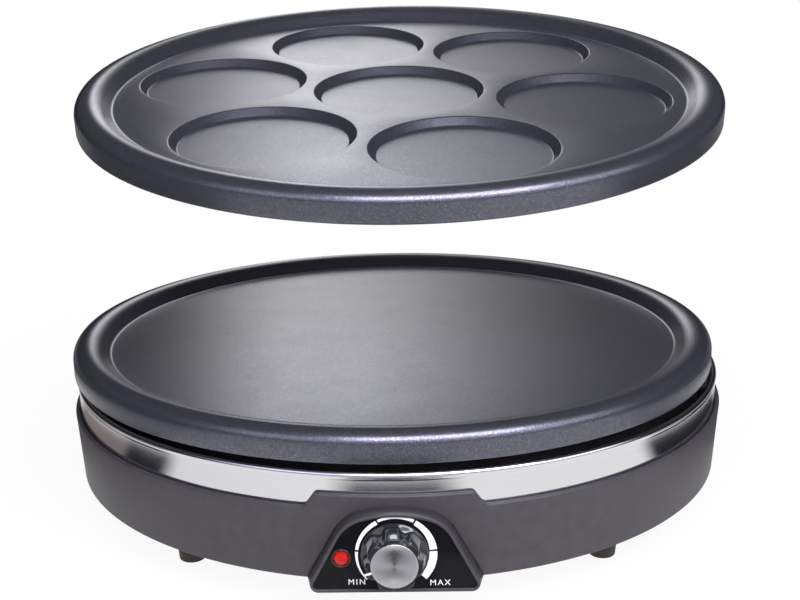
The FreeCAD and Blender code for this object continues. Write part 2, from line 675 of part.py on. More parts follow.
def make_feet():
    screws = []
    length = f"{COVER_BOTTOM} - foot_recess + 2 * post_radius - screw_radius"
    for node, angle in FOOT_ANGLES.items():
        recess = "screw_head_radius + 2 * screw_play"
        foot = turned(node, [
            (recess, "0"),
            ("foot_sole_radius - 1", "0", "left", "1.05"),
            ("foot_sole_radius", "1"),
            ("foot_top_radius", COVER_BOTTOM),
            (PASS, COVER_BOTTOM),
            (PASS, "foot_recess"),
            (recess, "foot_recess"),
        ])
        x, y = around(FOOT_CIRCLE, angle)
        piece(put(foot, x, y), node)
        screws.append(screw(f"{node}_screw", x, y, "foot_recess", length))
    piece(group("foot_screws", screws), "foot_screws")


def screw(name, x, y, seat, length):
    """Screw driven upwards: its head hangs under the seat, its shank goes up from there."""
    corners = [
        ("0", "-screw_head_height"),
        ("screw_head_radius - 1", "-screw_head_height"),
        ("screw_head_radius", "-0.5"),
        ("screw_head_radius", "0"),
        ("screw_radius", "0"),
        ("screw_radius", length),
        ("0", length),
    ]
    return put(turned(name, corners), x, y, seat)


def make_screws():
    reach = "ledge_thickness + band_sheet + pan_sheet + 2 * screw_radius"
    sets = {
        "pan_screws": ("pan", LEDGE_BOTTOM, reach),
        "cover_screws": ("cover", COVER_BOTTOM, "shell_height / 2"),
    }
    for node, (kind, seat, length) in sets.items():
        circle, angles = SCREW_CIRCLES[kind]
        made = []
        for number, angle in enumerate(angles):
            made.append(screw(f"{node}{number}", *around(circle, angle), seat, length))
        piece(group(node, made), node)


# Pan, element and shield

def leg_spot(circle, angle, side):
    """Where a leg goes down: one bend past the end of its ring, along the ring's tangent."""
    x = f"({circle} * cos({angle}) - {side} * element_bend * sin({angle}))"
    y = f"({circle} * sin({angle}) + {side} * element_bend * cos({angle}))"
    return x, y


SPOTS = {
    "leg": leg_spot(RING_RADIUS, "element_first", "-1"),
    "return": leg_spot(INNER_RING, "element_last", "-1"),
    "capillary": ("sensor_length / 2 + 16", "0"),
    "earth": (f"0.54 * {INNER_RING}", f"0.81 * {INNER_RING}"),
}
BUSHING_RADIUS = "(element_radius + bushing_wall)"
HOLE_RADII = {
    "leg": f"({BUSHING_RADIUS} + bushing_fit)",
    "return": f"({BUSHING_RADIUS} + bushing_fit)",
    "capillary": "capillary_hole",
    "earth": BITE,
}


def spot_holes(name, bottom, height, extra="0"):
    holes = []
    for spot, (x, y) in SPOTS.items():
        wider = extra if spot != "earth" else "0"
        hole = cylinder(f"{name}_{spot}", f"{HOLE_RADII[spot]} + {wider}", height)
        holes.append(put(hole, x, y, bottom))
    return holes


def make_pan():
    foot_bottom = f"({LEDGE_TOP} + band_sheet)"
    foot_top = f"({foot_bottom} + pan_sheet)"
    ledge_under = f"({SEAT} - pan_sheet)"
    outer_in = f"({PAN_RADIUS} - pan_sheet)"
    pan = turned("pan_shape", [
        ("0", PAN_BOTTOM),
        (f"{BOWL_RADIUS} + pan_sheet", PAN_BOTTOM),
        (f"{BOWL_RADIUS} + pan_sheet", ledge_under),
        (outer_in, ledge_under),
        (outer_in, foot_top),
        (f"{PAN_RADIUS} - pan_foot", foot_top),
        (f"{PAN_RADIUS} - pan_foot", foot_bottom),
        (PAN_RADIUS, foot_bottom),
        (PAN_RADIUS, SEAT),
        (BOWL_RADIUS, SEAT),
        (BOWL_RADIUS, PAN_FLOOR),
        ("0", PAN_FLOOR),
    ])
    holes = screw_holes("pan_hole", "pan", BITE, foot_bottom, "pan_sheet")
    holes += spot_holes("pan_spot", PAN_BOTTOM, "pan_sheet")
    piece(cut("element_pan", pan, holes), "element_pan")


def make_guides():
    """Thin fins on the pan's wall that keep a plate in the middle; the front right one shows in the gap."""
    fins = []
    for number, angle in enumerate(spaced("guide_start", 3)):
        fin = box(f"guide_fin{number}", "guide_reach", "guide_sheet", "guide_height")
        put(fin, PAN_RADIUS, "-guide_sheet / 2")
        fins.append(put(swung(f"guide{number}", fin, angle), z=f"{SEAT} - guide_drop"))
    piece(group("plate_guides", fins), "plate_guides")


def on_ring(radius, angle, height):
    turn = math.radians(angle)
    return Vector(radius * math.cos(turn), radius * math.sin(turn), height)


def along_ring(angle):
    turn = math.radians(angle)
    return Vector(-math.sin(turn), math.cos(turn), 0)


def quarter(start, end, corner, radius):
    """Quarter bend from start to end, round the corner where their straight runs would meet."""
    centre = start + (end - corner)
    middle = centre + (corner - centre).normalize() * radius
    return Part.Arc(start, middle, end).toShape()


def element_path():
    """Outer ring, half turn inwards, inner ring back, and a leg down at each end."""
    first, turn_back, last = value("element_first"), value("element_back"), value("element_last")
    outer, inner = value(RING_RADIUS), value(INNER_RING)
    height, bend, foot = value(ELEMENT_Z), value("element_bend"), value(LEG_END)
    down = Vector(0, 0, -1)
    start, end = on_ring(outer, first, height), on_ring(inner, last, height)
    corners = [start - along_ring(first) * bend, end - along_ring(last) * bend]
    knees = [corner + down * bend for corner in corners]
    feet = [Vector(knee.x, knee.y, foot) for knee in knees]
    outer_end, inner_end = on_ring(outer, turn_back, height), on_ring(inner, turn_back, height)
    middle = (outer + inner) / 2
    tip = on_ring(middle, turn_back, height) + along_ring(turn_back) * ((outer - inner) / 2)
    edges = [
        Part.LineSegment(feet[0], knees[0]).toShape(),
        quarter(knees[0], start, corners[0], bend),
        Part.Arc(start, on_ring(outer, (first + turn_back) / 2, height), outer_end).toShape(),
        Part.Arc(outer_end, tip, inner_end).toShape(),
        Part.Arc(inner_end, on_ring(inner, (last + turn_back) / 2, height), end).toShape(),
        quarter(end, knees[1], corners[1], bend),
        Part.LineSegment(knees[1], feet[1]).toShape(),
    ]
    return Part.Wire(edges)


def swept(name, path, radius):
    """Round tube along a path, its section tied to the sheet."""
    spine = doc.addObject("Part::Feature", name + "_path")
    spine.Shape = path
    section = doc.addObject("Part::Circle", name + "_section")
    bind(section, Radius=radius)
    first = path.OrderedEdges[0]
    begin = first.valueAt(first.FirstParameter)
    heading = first.tangentAt(first.FirstParameter)
    section.Placement = Placement(begin, Rotation(Vector(0, 0, 1), heading))
    tube = doc.addObject("Part::Sweep", name)
    tube.Sections = [section]
    tube.Spine = (spine, [f"Edge{number}" for number in range(1, len(path.Edges) + 1)])
    tube.Solid = True
    tube.Frenet = False
    return tube


def make_element():
    piece(swept("heating_element", element_path(), "element_radius"), "heating_element")
    posts, rings = [], []
    places = [(RING_RADIUS, angle) for angle in ("0", "90", "180")]
    places += [(INNER_RING, angle) for angle in ("45", "150")]
    for number, (circle, angle) in enumerate(places):
        post = box(f"clip_post{number}", "3 * element_radius", "2 * element_radius", "element_lift")
        put(post, f"{circle} - 1.5 * element_radius", "-element_radius")
        turned_post = swung(f"clip{number}", post, angle)
        posts.append(put(turned_post, z=PAN_FLOOR))
    for name, circle in (("outer", RING_RADIUS), ("inner", INNER_RING)):
        ring = doc.addObject("Part::Torus", f"clip_groove_{name}")
        bind(ring, Radius1=circle, Radius2="element_radius + element_gap")
        rings.append(put(ring, z=ELEMENT_Z))
    piece(cut("element_clips", group("clip_posts", posts), rings), "element_clips")


def make_leg_fittings():
    """Ceramic bushing where each leg passes the pan, and the spade terminal under it."""
    bushings, spades = [], []
    inner, neck = "element_radius + element_gap", BUSHING_RADIUS
    for spot in ("leg", "return"):
        x, y = SPOTS[spot]
        bushing = turned(f"bushing_{spot}", [
            (inner, f"{PAN_BOTTOM} - 2"),
            (neck, f"{PAN_BOTTOM} - 2"),
            (neck, PAN_FLOOR),
            (f"{neck} + bushing_flange", PAN_FLOOR),
            (f"{neck} + bushing_flange", f"{PAN_FLOOR} + bushing_flange"),
            (inner, f"{PAN_FLOOR} + bushing_flange"),
        ])
        bushings.append(put(bushing, x, y))
        stud = cylinder(f"stud_{spot}", "element_radius / 2", "stud_length")
        put(stud, x, y, f"{LEG_END} - stud_length")
        blade = standing(f"blade_{spot}", "blade_width", "blade_sheet", "blade_height", x, y, BLADE_END)
        spades.append(fuse(f"spade_{spot}", [stud, blade]))
    piece(group("element_bushings", bushings), "element_bushings")
    piece(group("element_terminals", spades), "element_terminals")


def make_shield():
    disc = put(cylinder("shield_disc", "cook_radius - shield_margin", "shield_sheet"), z=SHIELD_BOTTOM)
    holes = spot_holes("shield_spot", SHIELD_BOTTOM, "shield_sheet", "bushing_wall")
    piece(cut("heat_shield", disc, holes), "heat_shield")
    spacers = []
    for number, angle in enumerate(spaced("45", 4)):
        spacer = cylinder(f"spacer{number}", "4", "shield_drop")
        spacers.append(put(spacer, *around("(cook_radius - 2.2 * shield_margin)", angle), SHIELD_TOP))
    piece(group("shield_spacers", spacers), "shield_spacers")
    x, y = SPOTS["earth"]
    tag_bottom = f"{SHIELD_BOTTOM} - earth_tag_sheet"
    tag = put(cylinder("earth_tag", "earth_tag_radius", "earth_tag_sheet"), x, y, tag_bottom)
    barrel = cylinder("earth_barrel", "wire_radius + 0.4", "8", REARWARD)
    put(barrel, x, f"{y} + 3", f"{tag_bottom} - 0.7")
    reach = "shield_drop + shield_sheet + pan_sheet + screw_radius"
    bolt = screw("earth_bolt", x, y, tag_bottom, f"earth_tag_sheet + {reach}")
    piece(fuse("earth_screw", [tag, barrel, bolt]), "earth_screw")


# Control panel

def make_fascia():
    """Arched pod, open behind, with a lip in front and two bosses for the thermostat bracket."""
    front = doc.addObject("Sketcher::SketchObject", "pod_front")
    outline(front, arch())
    back = doc.addObject("Sketcher::SketchObject", "pod_back")
    outline(back, arch("-pod_flare", "0", "pod_root_radius"))
    front.Placement = Placement(Vector(), FRONTWARD)
    back.Placement = Placement(Vector(), FRONTWARD)
    root = f"({POD_FRONT} - pod_reach - shell_overhang - shell_wall - pod_flare)"
    put(front, y=f"-{POD_FRONT}", z="foot_height")
    put(back, y=f"-{root}", z="foot_height")
    shape = doc.addObject("Part::Loft", "pod_shape")
    shape.Sections = [front, back]
    shape.Solid = True
    shape.Ruled = True
    inner_corner = "pod_corner_radius / 2"
    recess = slab("pod_recess", arch("lip_width", "lip_width", inner_corner), "lip_depth + face_thickness")
    put(recess, y=f"-{POD_FRONT}", z="foot_height")
    hollow = slab("pod_hollow", arch("pod_wall", "pod_wall", inner_corner), "pod_height")
    put(hollow, y=f"-{PANEL_BACK}", z="foot_height")
    shell = cut("pod_shell", shape, [recess, hollow, inner_drum("pod_drum", "pod_fit")])
    bosses, drills = [], panel_holes("pod_hole")
    length = f"{PANEL_BACK} - {BRACKET_FRONT}"
    for side in (-1, 1):
        boss = cylinder(f"pod_boss{side + 1}", "panel_boss_radius", length, REARWARD)
        bosses.append(put(boss, f"{side} * bracket_screws", f"-{PANEL_BACK}", BRACKET_SCREW_Z))
        drill = cylinder(f"pod_drill{side + 1}", BITE, "5 * screw_radius", FRONTWARD)
        drills.append(put(drill, f"{side} * bracket_screws", f"-{BRACKET_FRONT}", BRACKET_SCREW_Z))
    piece(cut("control_fascia", fuse("pod_solid", [shell] + bosses), drills), "control_fascia")
    plate_inset = "lip_width + face_fit"
    plate = slab("face_blank", arch(plate_inset, plate_inset, inner_corner), "face_thickness")
    put(plate, y=f"-{PANEL_FACE}", z="foot_height")
    piece(cut("face_plate", plate, panel_holes("face_hole")), "face_plate")


def panel_holes(name):
    """Holes for the thermostat bush and the lamp, right through the panel."""
    bush = cylinder(name + "_bush", "bush_radius + bush_fit", "2 * face_thickness + 2 * pod_wall", REARWARD)
    lamp = cylinder(name + "_lamp", "lens_radius + 0.4", "2 * face_thickness + 2 * pod_wall", REARWARD)
    ahead = f"-{PANEL_FACE} - face_thickness"
    return [put(bush, "0", ahead, KNOB_Z), put(lamp, LAMP_X, ahead, LAMP_Z)]


def facing(body, x="0", z=KNOB_Z, ahead="0"):
    """Turns a body's own Z axis to the front and sets it on the face plate."""
    body.Placement = Placement(Vector(), FRONTWARD)
    return put(body, x, f"-({PANEL_FACE} + {ahead})", z)


def make_knob():
    under = "(knob_radius - groove_depth - knob_wall)"
    roof = "(knob_depth - cap_seat - knob_wall)"
    knob = turned("knob_body", [
        ("0", roof),
        (SHAFT_BORE, roof),
        (SHAFT_BORE, "2 * knob_gap"),
        (f"{SHAFT_BORE} + 2.5", "2 * knob_gap"),
        (f"{SHAFT_BORE} + 2.5", f"{roof} - 1"),
        (under, f"{roof} - 1"),
        (under, "knob_gap"),
        ("knob_skirt_radius", "knob_gap"),
        ("knob_skirt_radius", "knob_gap + 0.8"),
        ("knob_radius", "knob_gap + 2"),
        ("knob_radius", "knob_depth"),
        ("cap_radius + cap_fit", "knob_depth"),
        ("cap_radius + cap_fit", "knob_depth - cap_seat"),
        ("0", "knob_depth - cap_seat"),
    ])
    hole = new_sketch(knob, "XY_Plane", "knob_groove")
    lobe = "(pointer_angle + 180 / 7)"
    centre = "(knob_radius + groove_radius - groove_depth)"
    x, y = around(centre, lobe)
    spot = Vector(value(x), value(y), 0)
    hole.addGeometry(Part.Circle(spot, Vector(0, 0, 1), value("groove_radius")), False)
    tie(hole, "DistanceX", (-1, 1, 0, 3), "across", x)
    tie(hole, "DistanceY", (-1, 1, 0, 3), "up", y)
    tie(hole, "Radius", (0,), "bend", "groove_radius")
    hole.setExpression("AttachmentOffset.Base.z", tied("knob_gap + 1.6"))
    groove = knob.newObject("PartDesign::Pocket", "knob_pocket")
    groove.Profile = hole
    groove.Reversed = True
    bind(groove, Length="knob_depth")
    doc.recompute()
    ring = knob.newObject("PartDesign::PolarPattern", "knob_grooves")
    ring.Originals = [groove]
    ring.Axis = (plane(knob, "Z_Axis"), [""])
    ring.Angle = 360
    ring.Occurrences = 7
    knob.Tip = ring
    piece(facing(knob), "knob")
    cap = turned("knob_cap", [
        ("0", "0"),
        ("cap_radius", "0"),
        ("cap_radius", "cap_thickness - 0.2"),
        ("cap_radius - 0.2", "cap_thickness"),
        ("0", "cap_thickness"),
    ])
    piece(facing(cap, ahead="knob_depth - cap_seat"), "knob_cap")
    bar = box("pointer_bar", "knob_radius - cap_radius - 0.4", "pointer_width", "pointer_height")
    put(bar, "cap_radius + 0.2", "-pointer_width / 2")
    pointer = swung("pointer_turned", bar, "pointer_angle")
    holder = doc.addObject("Part::Compound", "knob_pointer")
    holder.Links = [pointer]
    piece(facing(holder, ahead="knob_depth"), "knob_pointer")
    reach = f"{roof} - shaft_short + bracket_depth + bracket_sheet + shaft_end"
    shaft = cylinder("thermostat_shaft", "shaft_radius", reach, FRONTWARD)
    piece(put(shaft, "0", f"-({THERMOSTAT_FRONT} - shaft_end)", KNOB_Z), "thermostat_shaft")


def make_thermostat():
    block = box("thermostat_block", "thermostat_width", "thermostat_depth",
                f"{THERMOSTAT_TOP} - {THERMOSTAT_LOW}")
    put(block, "-thermostat_width / 2", f"-{THERMOSTAT_FRONT}", THERMOSTAT_LOW)
    socket = cylinder("thermostat_socket", f"{SHAFT_BORE} + 0.2", "shaft_end + 0.5", REARWARD)
    put(socket, "0", f"-{THERMOSTAT_FRONT}", KNOB_Z)
    piece(cut("thermostat_body", block, [socket]), "thermostat_body")
    bush = turned("thermostat_bush", [
        (SHAFT_BORE, "-bracket_depth"),
        ("bush_radius", "-bracket_depth"),
        ("bush_radius", "0"),
        (SHAFT_BORE, "0"),
    ])
    piece(facing(bush), "thermostat_bush")
    foot = f"{BRACKET_SCREW_Z} - panel_boss_radius"
    height = f"{THERMOSTAT_TOP} - ({foot})"
    upright = box("bracket_upright", "thermostat_width", "bracket_sheet", height)
    put(upright, "-thermostat_width / 2", f"-{BRACKET_FRONT}", foot)
    half_width = "(bracket_screws + panel_boss_radius)"
    ears = box("bracket_ears", f"2 * {half_width}", "bracket_sheet", "2 * panel_boss_radius")
    put(ears, f"-{half_width}", f"-{BRACKET_FRONT}", foot)
    hole = cylinder("bracket_hole", f"{SHAFT_BORE} + 0.2", "bracket_sheet", REARWARD)
    drills = [put(hole, "0", f"-{BRACKET_FRONT}", KNOB_Z)]
    screws = []
    for side in (-1, 1):
        drill = cylinder(f"bracket_drill{side + 1}", PASS, "bracket_sheet", REARWARD)
        drills.append(put(drill, f"{side} * bracket_screws", f"-{BRACKET_FRONT}", BRACKET_SCREW_Z))
        bolt = screw(f"bracket_screw{side + 1}", "0", "0", "0", "bracket_sheet + 4 * screw_radius")
        bolt.Placement = Placement(Vector(), FRONTWARD)
        screws.append(put(bolt, f"{side} * bracket_screws", f"-{THERMOSTAT_FRONT}", BRACKET_SCREW_Z))
    piece(cut("thermostat_bracket", fuse("bracket_blank", [upright, ears]), drills), "thermostat_bracket")
    piece(group("bracket_screws", screws), "bracket_screws")


def make_lamp():
    sleeve = "(lens_radius + 0.3)"
    bezel = turned("lamp_bezel", [
        ("lens_radius + 0.05", "0.5"),
        ("lens_radius + 0.05", "-face_thickness - pod_wall - 6"),
        (sleeve, "-face_thickness - pod_wall - 6"),
        (sleeve, "0"),
        ("lamp_radius", "0"),
        ("lamp_radius", "0.3"),
        ("lamp_radius - 0.3", "0.5"),
    ])
    piece(facing(bezel, LAMP_X, LAMP_Z), "lamp_bezel")
    lens = turned("lamp_lens", [
        ("0", "-face_thickness - 1"),
        ("lens_radius", "-face_thickness - 1"),
        ("lens_radius", "0.3"),
        ("lens_radius - 0.9", "lens_dome - 0.4"),
        ("0", "lens_dome"),
    ])
    piece(facing(lens, LAMP_X, LAMP_Z), "lamp_lens")
    bulb = turned("neon_lamp", [
        ("0", "-neon_depth"),
        ("lens_radius - 0.6", "-neon_depth"),
        ("lens_radius - 0.6", "-0.4 * neon_depth"),
        ("1", "-face_thickness - 1.2"),
        ("0", "-face_thickness - 1.2"),
    ])
    piece(facing(bulb, LAMP_X, LAMP_Z), "neon_lamp")


# Sensor, wiring and inlet

def make_sensor():
    along_x = Rotation(Vector(0, 1, 0), 90)
    bulb = cylinder("sensor_bulb", "sensor_radius", "sensor_length", along_x)
    piece(put(bulb, "-sensor_length / 2", "0", SENSOR_Z), "sensor_bulb")
    height = f"{SENSOR_Z} - {PAN_FLOOR}"
    post = standing("sensor_post", "sensor_length / 5", "3.2 * sensor_radius", height, "0", "0", PAN_FLOOR)
    groove = cylinder("sensor_groove", "sensor_radius + sensor_fit", "sensor_length", along_x)
    put(groove, "-sensor_length / 2", "0", SENSOR_Z)
    piece(cut("sensor_clip", post, [groove]), "sensor_clip")
    hole_x, hole_y = SPOTS["capillary"]
    route = [
        ("sensor_length / 2", "0", SENSOR_Z),
        (hole_x, hole_y, SENSOR_Z),
        (hole_x, hole_y, f"{SHIELD_BOTTOM} - 1.8 * sensor_radius"),
        ("4 * sensor_radius", f"-{INNER_RING}", f"{SHIELD_BOTTOM} - 2 * sensor_radius"),
        ("2 * sensor_radius", f"-({THERMOSTAT_BACK} - 20)", f"{KNOB_Z} + thermostat_drop / 3"),
        ("2 * sensor_radius", f"-{THERMOSTAT_BACK}", f"{KNOB_Z} + thermostat_drop / 3"),
    ]
    piece(wire("capillary_tube", route, "capillary_radius"), "capillary_tube")


def rounded_path(points):
    """Straight runs joined by tangent arcs, each as large as its two runs allow."""
    edges, begin = [], points[0]
    for before, corner, after in zip(points, points[1:], points[2:]):
        back, ahead = before - corner, after - corner
        room = 0.45 * min(back.Length, ahead.Length)
        back.normalize()
        ahead.normalize()
        half = math.acos(max(-1.0, min(1.0, back.dot(ahead)))) / 2
        radius = room * math.tan(half)
        bisector = (back + ahead).normalize()
        centre = corner + bisector * (room / math.cos(half))
        first, last = corner + back * room, corner + ahead * room
        edges.append(Part.LineSegment(begin, first).toShape())
        edges.append(Part.Arc(first, centre - bisector * radius, last).toShape())
        begin = last
    edges.append(Part.LineSegment(begin, points[-1]).toShape())
    return Part.Wire(edges)


def wire(name, route, radius):
    points = [Vector(*(value(number) for number in spot)) for spot in route]
    return swept(name, rounded_path(points), radius)


POLES = ("-pole_spacing", "0", "pole_spacing")


def make_terminal_block():
    """Three-pole block on the cover, where the cord's cores would be clamped."""
    block = box("block_body", "block_length", "block_depth", "block_height")
    put(block, "-block_length / 2", BLOCK_FRONT, COVER_TOP)
    drills, screws = [], []
    for number, x in enumerate(POLES):
        spot = (x, f"{BLOCK_FRONT} + block_depth / 2", f"{BLOCK_TOP} - pole_depth")
        drills.append(put(cylinder(f"pole_drill{number}", "pole_bore", "pole_depth"), *spot))
        head = cylinder(f"pole_screw{number}", "pole_bore - screw_play", "pole_depth - 0.5")
        screws.append(put(head, *spot))
    piece(cut("terminal_block", block, drills), "terminal_block")
    piece(group("terminal_screws", screws), "terminal_screws")


def make_fuse():
    body = cylinder("thermal_fuse", "fuse_radius", "fuse_length", REARWARD)
    piece(put(body, "0", "fuse_start", FUSE_Z), "thermal_fuse")
    middle, height = "fuse_start + fuse_length / 2", "2 * fuse_radius - fuse_drop"
    clip = standing("fuse_strap", "3.4 * fuse_radius", "2 * fuse_radius", height, "0", middle,
                    f"{SHIELD_BOTTOM} - ({height})")
    groove = cylinder("fuse_groove", "fuse_radius + fuse_fit", "fuse_length", REARWARD)
    piece(cut("fuse_clip", clip, [put(groove, "0", "fuse_start", FUSE_Z)]), "fuse_clip")


def make_wires():
    back, terminal = f"-{THERMOSTAT_BACK}", f"({KNOB_Z} - thermostat_drop / 2)"
    low, pole = f"({COVER_TOP} + 3.75 * wire_radius)", f"({COVER_TOP} + 0.6 * block_height)"
    fuse_end = "(fuse_start + fuse_length)"
    tag_z = f"({SHIELD_BOTTOM} - earth_tag_sheet - 0.7)"
    leg_x, leg_y = SPOTS["leg"]
    home_x, home_y = SPOTS["return"]
    earth_x, earth_y = SPOTS["earth"]
    routes = {
        "live_wire": [
            (POLES[0], BLOCK_FRONT, pole),
            (POLES[0], f"{BLOCK_FRONT} - 1.5 * pole_spacing", pole),
            (f"-0.67 * {INNER_RING}", f"0.6 * {INNER_RING}", low),
            (f"-0.84 * {INNER_RING}", f"-0.4 * {INNER_RING}", low),
            (f"-0.54 * {INNER_RING}", f"-1.35 * {INNER_RING}", low),
            ("-thermostat_drop", f"{back} + 1.2 * thermostat_depth", terminal),
            ("-thermostat_drop", back, terminal),
        ],
        "thermostat_wire": [
            ("thermostat_drop", back, terminal),
            ("thermostat_drop", f"{back} + 0.8 * thermostat_depth", terminal),
            (leg_x, f"{leg_y} - 10", low),
            (leg_x, leg_y, low),
            (leg_x, leg_y, BLADE_END),
        ],
        "fuse_wire": [
            (home_x, home_y, BLADE_END),
            (home_x, home_y, low),
            (f"0.27 * {INNER_RING}", f"-0.38 * {INNER_RING}", low),
            ("0", "fuse_start - 0.8 * fuse_length", FUSE_Z),
            ("0", "fuse_start", FUSE_Z),
        ],
        "neutral_wire": [
            ("0", fuse_end, FUSE_Z),
            ("0", f"{fuse_end} + 0.6 * fuse_length", FUSE_Z),
            ("0", f"{BLOCK_FRONT} - 1.5 * pole_spacing", pole),
            ("0", BLOCK_FRONT, pole),
        ],
        "earth_wire": [
            (POLES[2], BLOCK_FRONT, pole),
            (POLES[2], f"{BLOCK_FRONT} - 0.8 * pole_spacing", pole),
            (f"{earth_x} - 10 * wire_radius", f"{earth_y} + 25 * wire_radius", low),
            (earth_x, f"{earth_y} + 20 * wire_radius", tag_z),
            (earth_x, f"{earth_y} + 11", tag_z),
        ],
    }
    for node, route in routes.items():
        piece(wire(node, route, "wire_radius"), node)
    lamp_end = f"-({PANEL_FACE} - neon_depth)"
    side = "-thermostat_width / 2"
    leads = []
    for number, (offset, level, ahead) in enumerate((("1.2", "-1.4", "9"), ("-1.2", "1.4", "12"))):
        route = [
            (f"{LAMP_X} + {offset}", lamp_end, f"{LAMP_Z} + {level}"),
            (f"{LAMP_X} + {offset}", f"-{THERMOSTAT_FRONT} + {ahead}", f"{LAMP_Z} + {level}"),
            (side, f"-{THERMOSTAT_FRONT} + {ahead}", f"{LAMP_Z} + {level}"),
        ]
        leads.append(wire(f"lead{number}", route, "lead_radius"))
    piece(group("lamp_leads", leads), "lamp_leads")


def make_gland():
    length = f"({INLET_END} + gland_reach - {COVER_RADIUS})"
    gland = turned("cord_gland", [
        ("gland_bore", "0"),
        ("gland_radius", "0"),
        ("gland_radius", f"{length} - gland_reach"),
        ("gland_collar", f"{length} - gland_reach"),
        ("gland_collar", f"{length} - 1.5"),
        ("gland_collar - 1.5", length),
        ("gland_bore", length),
    ])
    gland.Placement = Placement(Vector(), REARWARD)
    piece(put(gland, "0", COVER_RADIUS, INLET_Z), "cord_gland")


make_crepe_plate()
make_pancake_plate()
make_housing()
make_band()
make_cover()
make_feet()
make_screws()
make_pan()
make_guides()
make_element()
make_leg_fittings()
make_shield()
make_fascia()
make_knob()
make_thermostat()
make_lamp()
make_sensor()
make_terminal_block()
make_fuse()
make_wires()
make_gland()
doc.recompute()

for thing in doc.Objects:
    if "Invalid" in thing.State or "Error" in thing.State:
        raise RuntimeError(f"{thing.Name} failed: {thing.State}")
for thing in pieces:
    if thing.Shape.isNull() or not thing.Shape.isValid() or not thing.Shape.Solids:
        raise RuntimeError(f"{thing.Label} has no valid solid")
for thing in pieces:
    thing.Shape.exportStep(f"parts/{thing.Label}.step")
print(len(pieces), "sub-parts written")
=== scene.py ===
import math

import bmesh
import bpy
import numpy as np
from mathutils import Matrix, Vector
from mathutils.geometry import delaunay_2d_cdt


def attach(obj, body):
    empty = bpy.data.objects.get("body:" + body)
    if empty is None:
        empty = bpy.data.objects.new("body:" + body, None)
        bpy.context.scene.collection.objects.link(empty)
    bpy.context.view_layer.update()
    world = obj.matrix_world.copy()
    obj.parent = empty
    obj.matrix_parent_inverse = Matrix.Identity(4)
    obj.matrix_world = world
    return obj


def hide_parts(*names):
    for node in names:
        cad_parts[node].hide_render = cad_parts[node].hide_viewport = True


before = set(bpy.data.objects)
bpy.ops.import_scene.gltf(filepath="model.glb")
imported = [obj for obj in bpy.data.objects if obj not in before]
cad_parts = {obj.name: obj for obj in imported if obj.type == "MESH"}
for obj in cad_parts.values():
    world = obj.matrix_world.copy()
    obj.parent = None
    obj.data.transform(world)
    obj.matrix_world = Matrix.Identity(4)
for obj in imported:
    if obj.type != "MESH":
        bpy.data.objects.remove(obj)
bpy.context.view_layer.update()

# An electric crepe maker: a round charcoal housing with a bright band, a dished pan with the heating tube
# inside it, a non-stick crepe plate on top, and the second plate of the set, for small pancakes, above it.
# Metres, Z up, the middle of the housing's underside on the floor at the origin, the panel towards -Y.


# Base cover

# The moulded cover closes the housing from below. Its slots let air in past the wiring. Six screws hold it
# to posts in the housing, and it carries the feet.

def node_maker(tree):
    """A function that adds a node of a kind to a tree, with its settings and with its inputs set or linked;
    an input whose name is an underscore and a number, such as _1, is meant by its number."""
    def node(kind, settings=(), **inputs):
        made = tree.nodes.new("ShaderNode" + kind)
        for key, setting in dict(settings).items():
            setattr(made, key, setting)
        for key, source in inputs.items():
            place = made.inputs[int(key[1:])] if key[1:].isdigit() else made.inputs[key.replace("_", " ")]
            if isinstance(source, bpy.types.NodeSocket):
                tree.links.new(source, place)
            else:
                place.default_value = source
        return made
    return node


def blend(node, share, first, second, how="MIX"):
    """A colour between two others, by the share of the second, or the two put together in another way."""
    kind = {"data_type": "RGBA", "blend_type": how}
    return node("Mix", kind, Factor=share, _6=first, _7=second).outputs[2]


def map_range(node, value, low, high, to_low=0.0, to_high=1.0):
    """Carries a value from one range to another, held within it: low gives to_low, high gives to_high."""
    made = node("MapRange", Value=value)
    for place, bound in zip(("From Min", "From Max", "To Min", "To Max"), (low, high, to_low, to_high)):
        made.inputs[place].default_value = bound
    return made.outputs[0]


def new_material(name):
    """A material with its shader, its node maker and the function that links two sockets."""
    material = bpy.data.materials.new(name)
    material.use_nodes = True
    tree = material.node_tree
    return material, tree.nodes["Principled BSDF"], node_maker(tree), tree.links.new


def moulded(name, colour, roughness, grain, depth, spread=0.12, metal=0.0, coat=0.0):
    """Colour that wanders between a darker and a lighter shade of itself, by the spread each way, a
    roughness that wanders with it, and a raised grain: noise of grain cells a metre, depth metres high."""
    material, shader, node, link = new_material(name)
    place = node("TexCoord").outputs["Object"]
    cloud = node("TexNoise", Vector=place, Scale=grain / 14, Detail=3.0).outputs["Fac"]
    fine = node("TexNoise", Vector=place, Scale=grain, Detail=2.0, Roughness=0.6).outputs["Fac"]
    both = node("Mix", {"data_type": "FLOAT"}, Factor=0.5, _2=cloud, _3=fine)
    ramp = node("ValToRGB", Fac=both.outputs[0])
    ramp.color_ramp.elements[0].position, ramp.color_ramp.elements[1].position = 0.38, 0.62
    for stop, share in zip(ramp.color_ramp.elements, (1 - spread, 1 + spread)):
        stop.color = [min(1.0, part * share) for part in colour] + [1.0]
    link(ramp.outputs["Color"], shader.inputs["Base Color"])
    rough = map_range(node, both.outputs[0], 0.3, 0.7, roughness * 0.88, min(1.0, roughness * 1.12))
    link(rough, shader.inputs["Roughness"])
    shader.inputs["Metallic"].default_value = metal
    shader.inputs["Coat Weight"].default_value = coat
    bump = node("Bump", Strength=1.0, Distance=depth, Height=fine)
    link(bump.outputs["Normal"], shader.inputs["Normal"])
    return material


def dress(material, *names):
    """Gives CAD nodes that keep their own shape a material in place of the plain one."""
    for name in names:
        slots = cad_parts[name].data.materials
        slots.clear()
        slots.append(material)


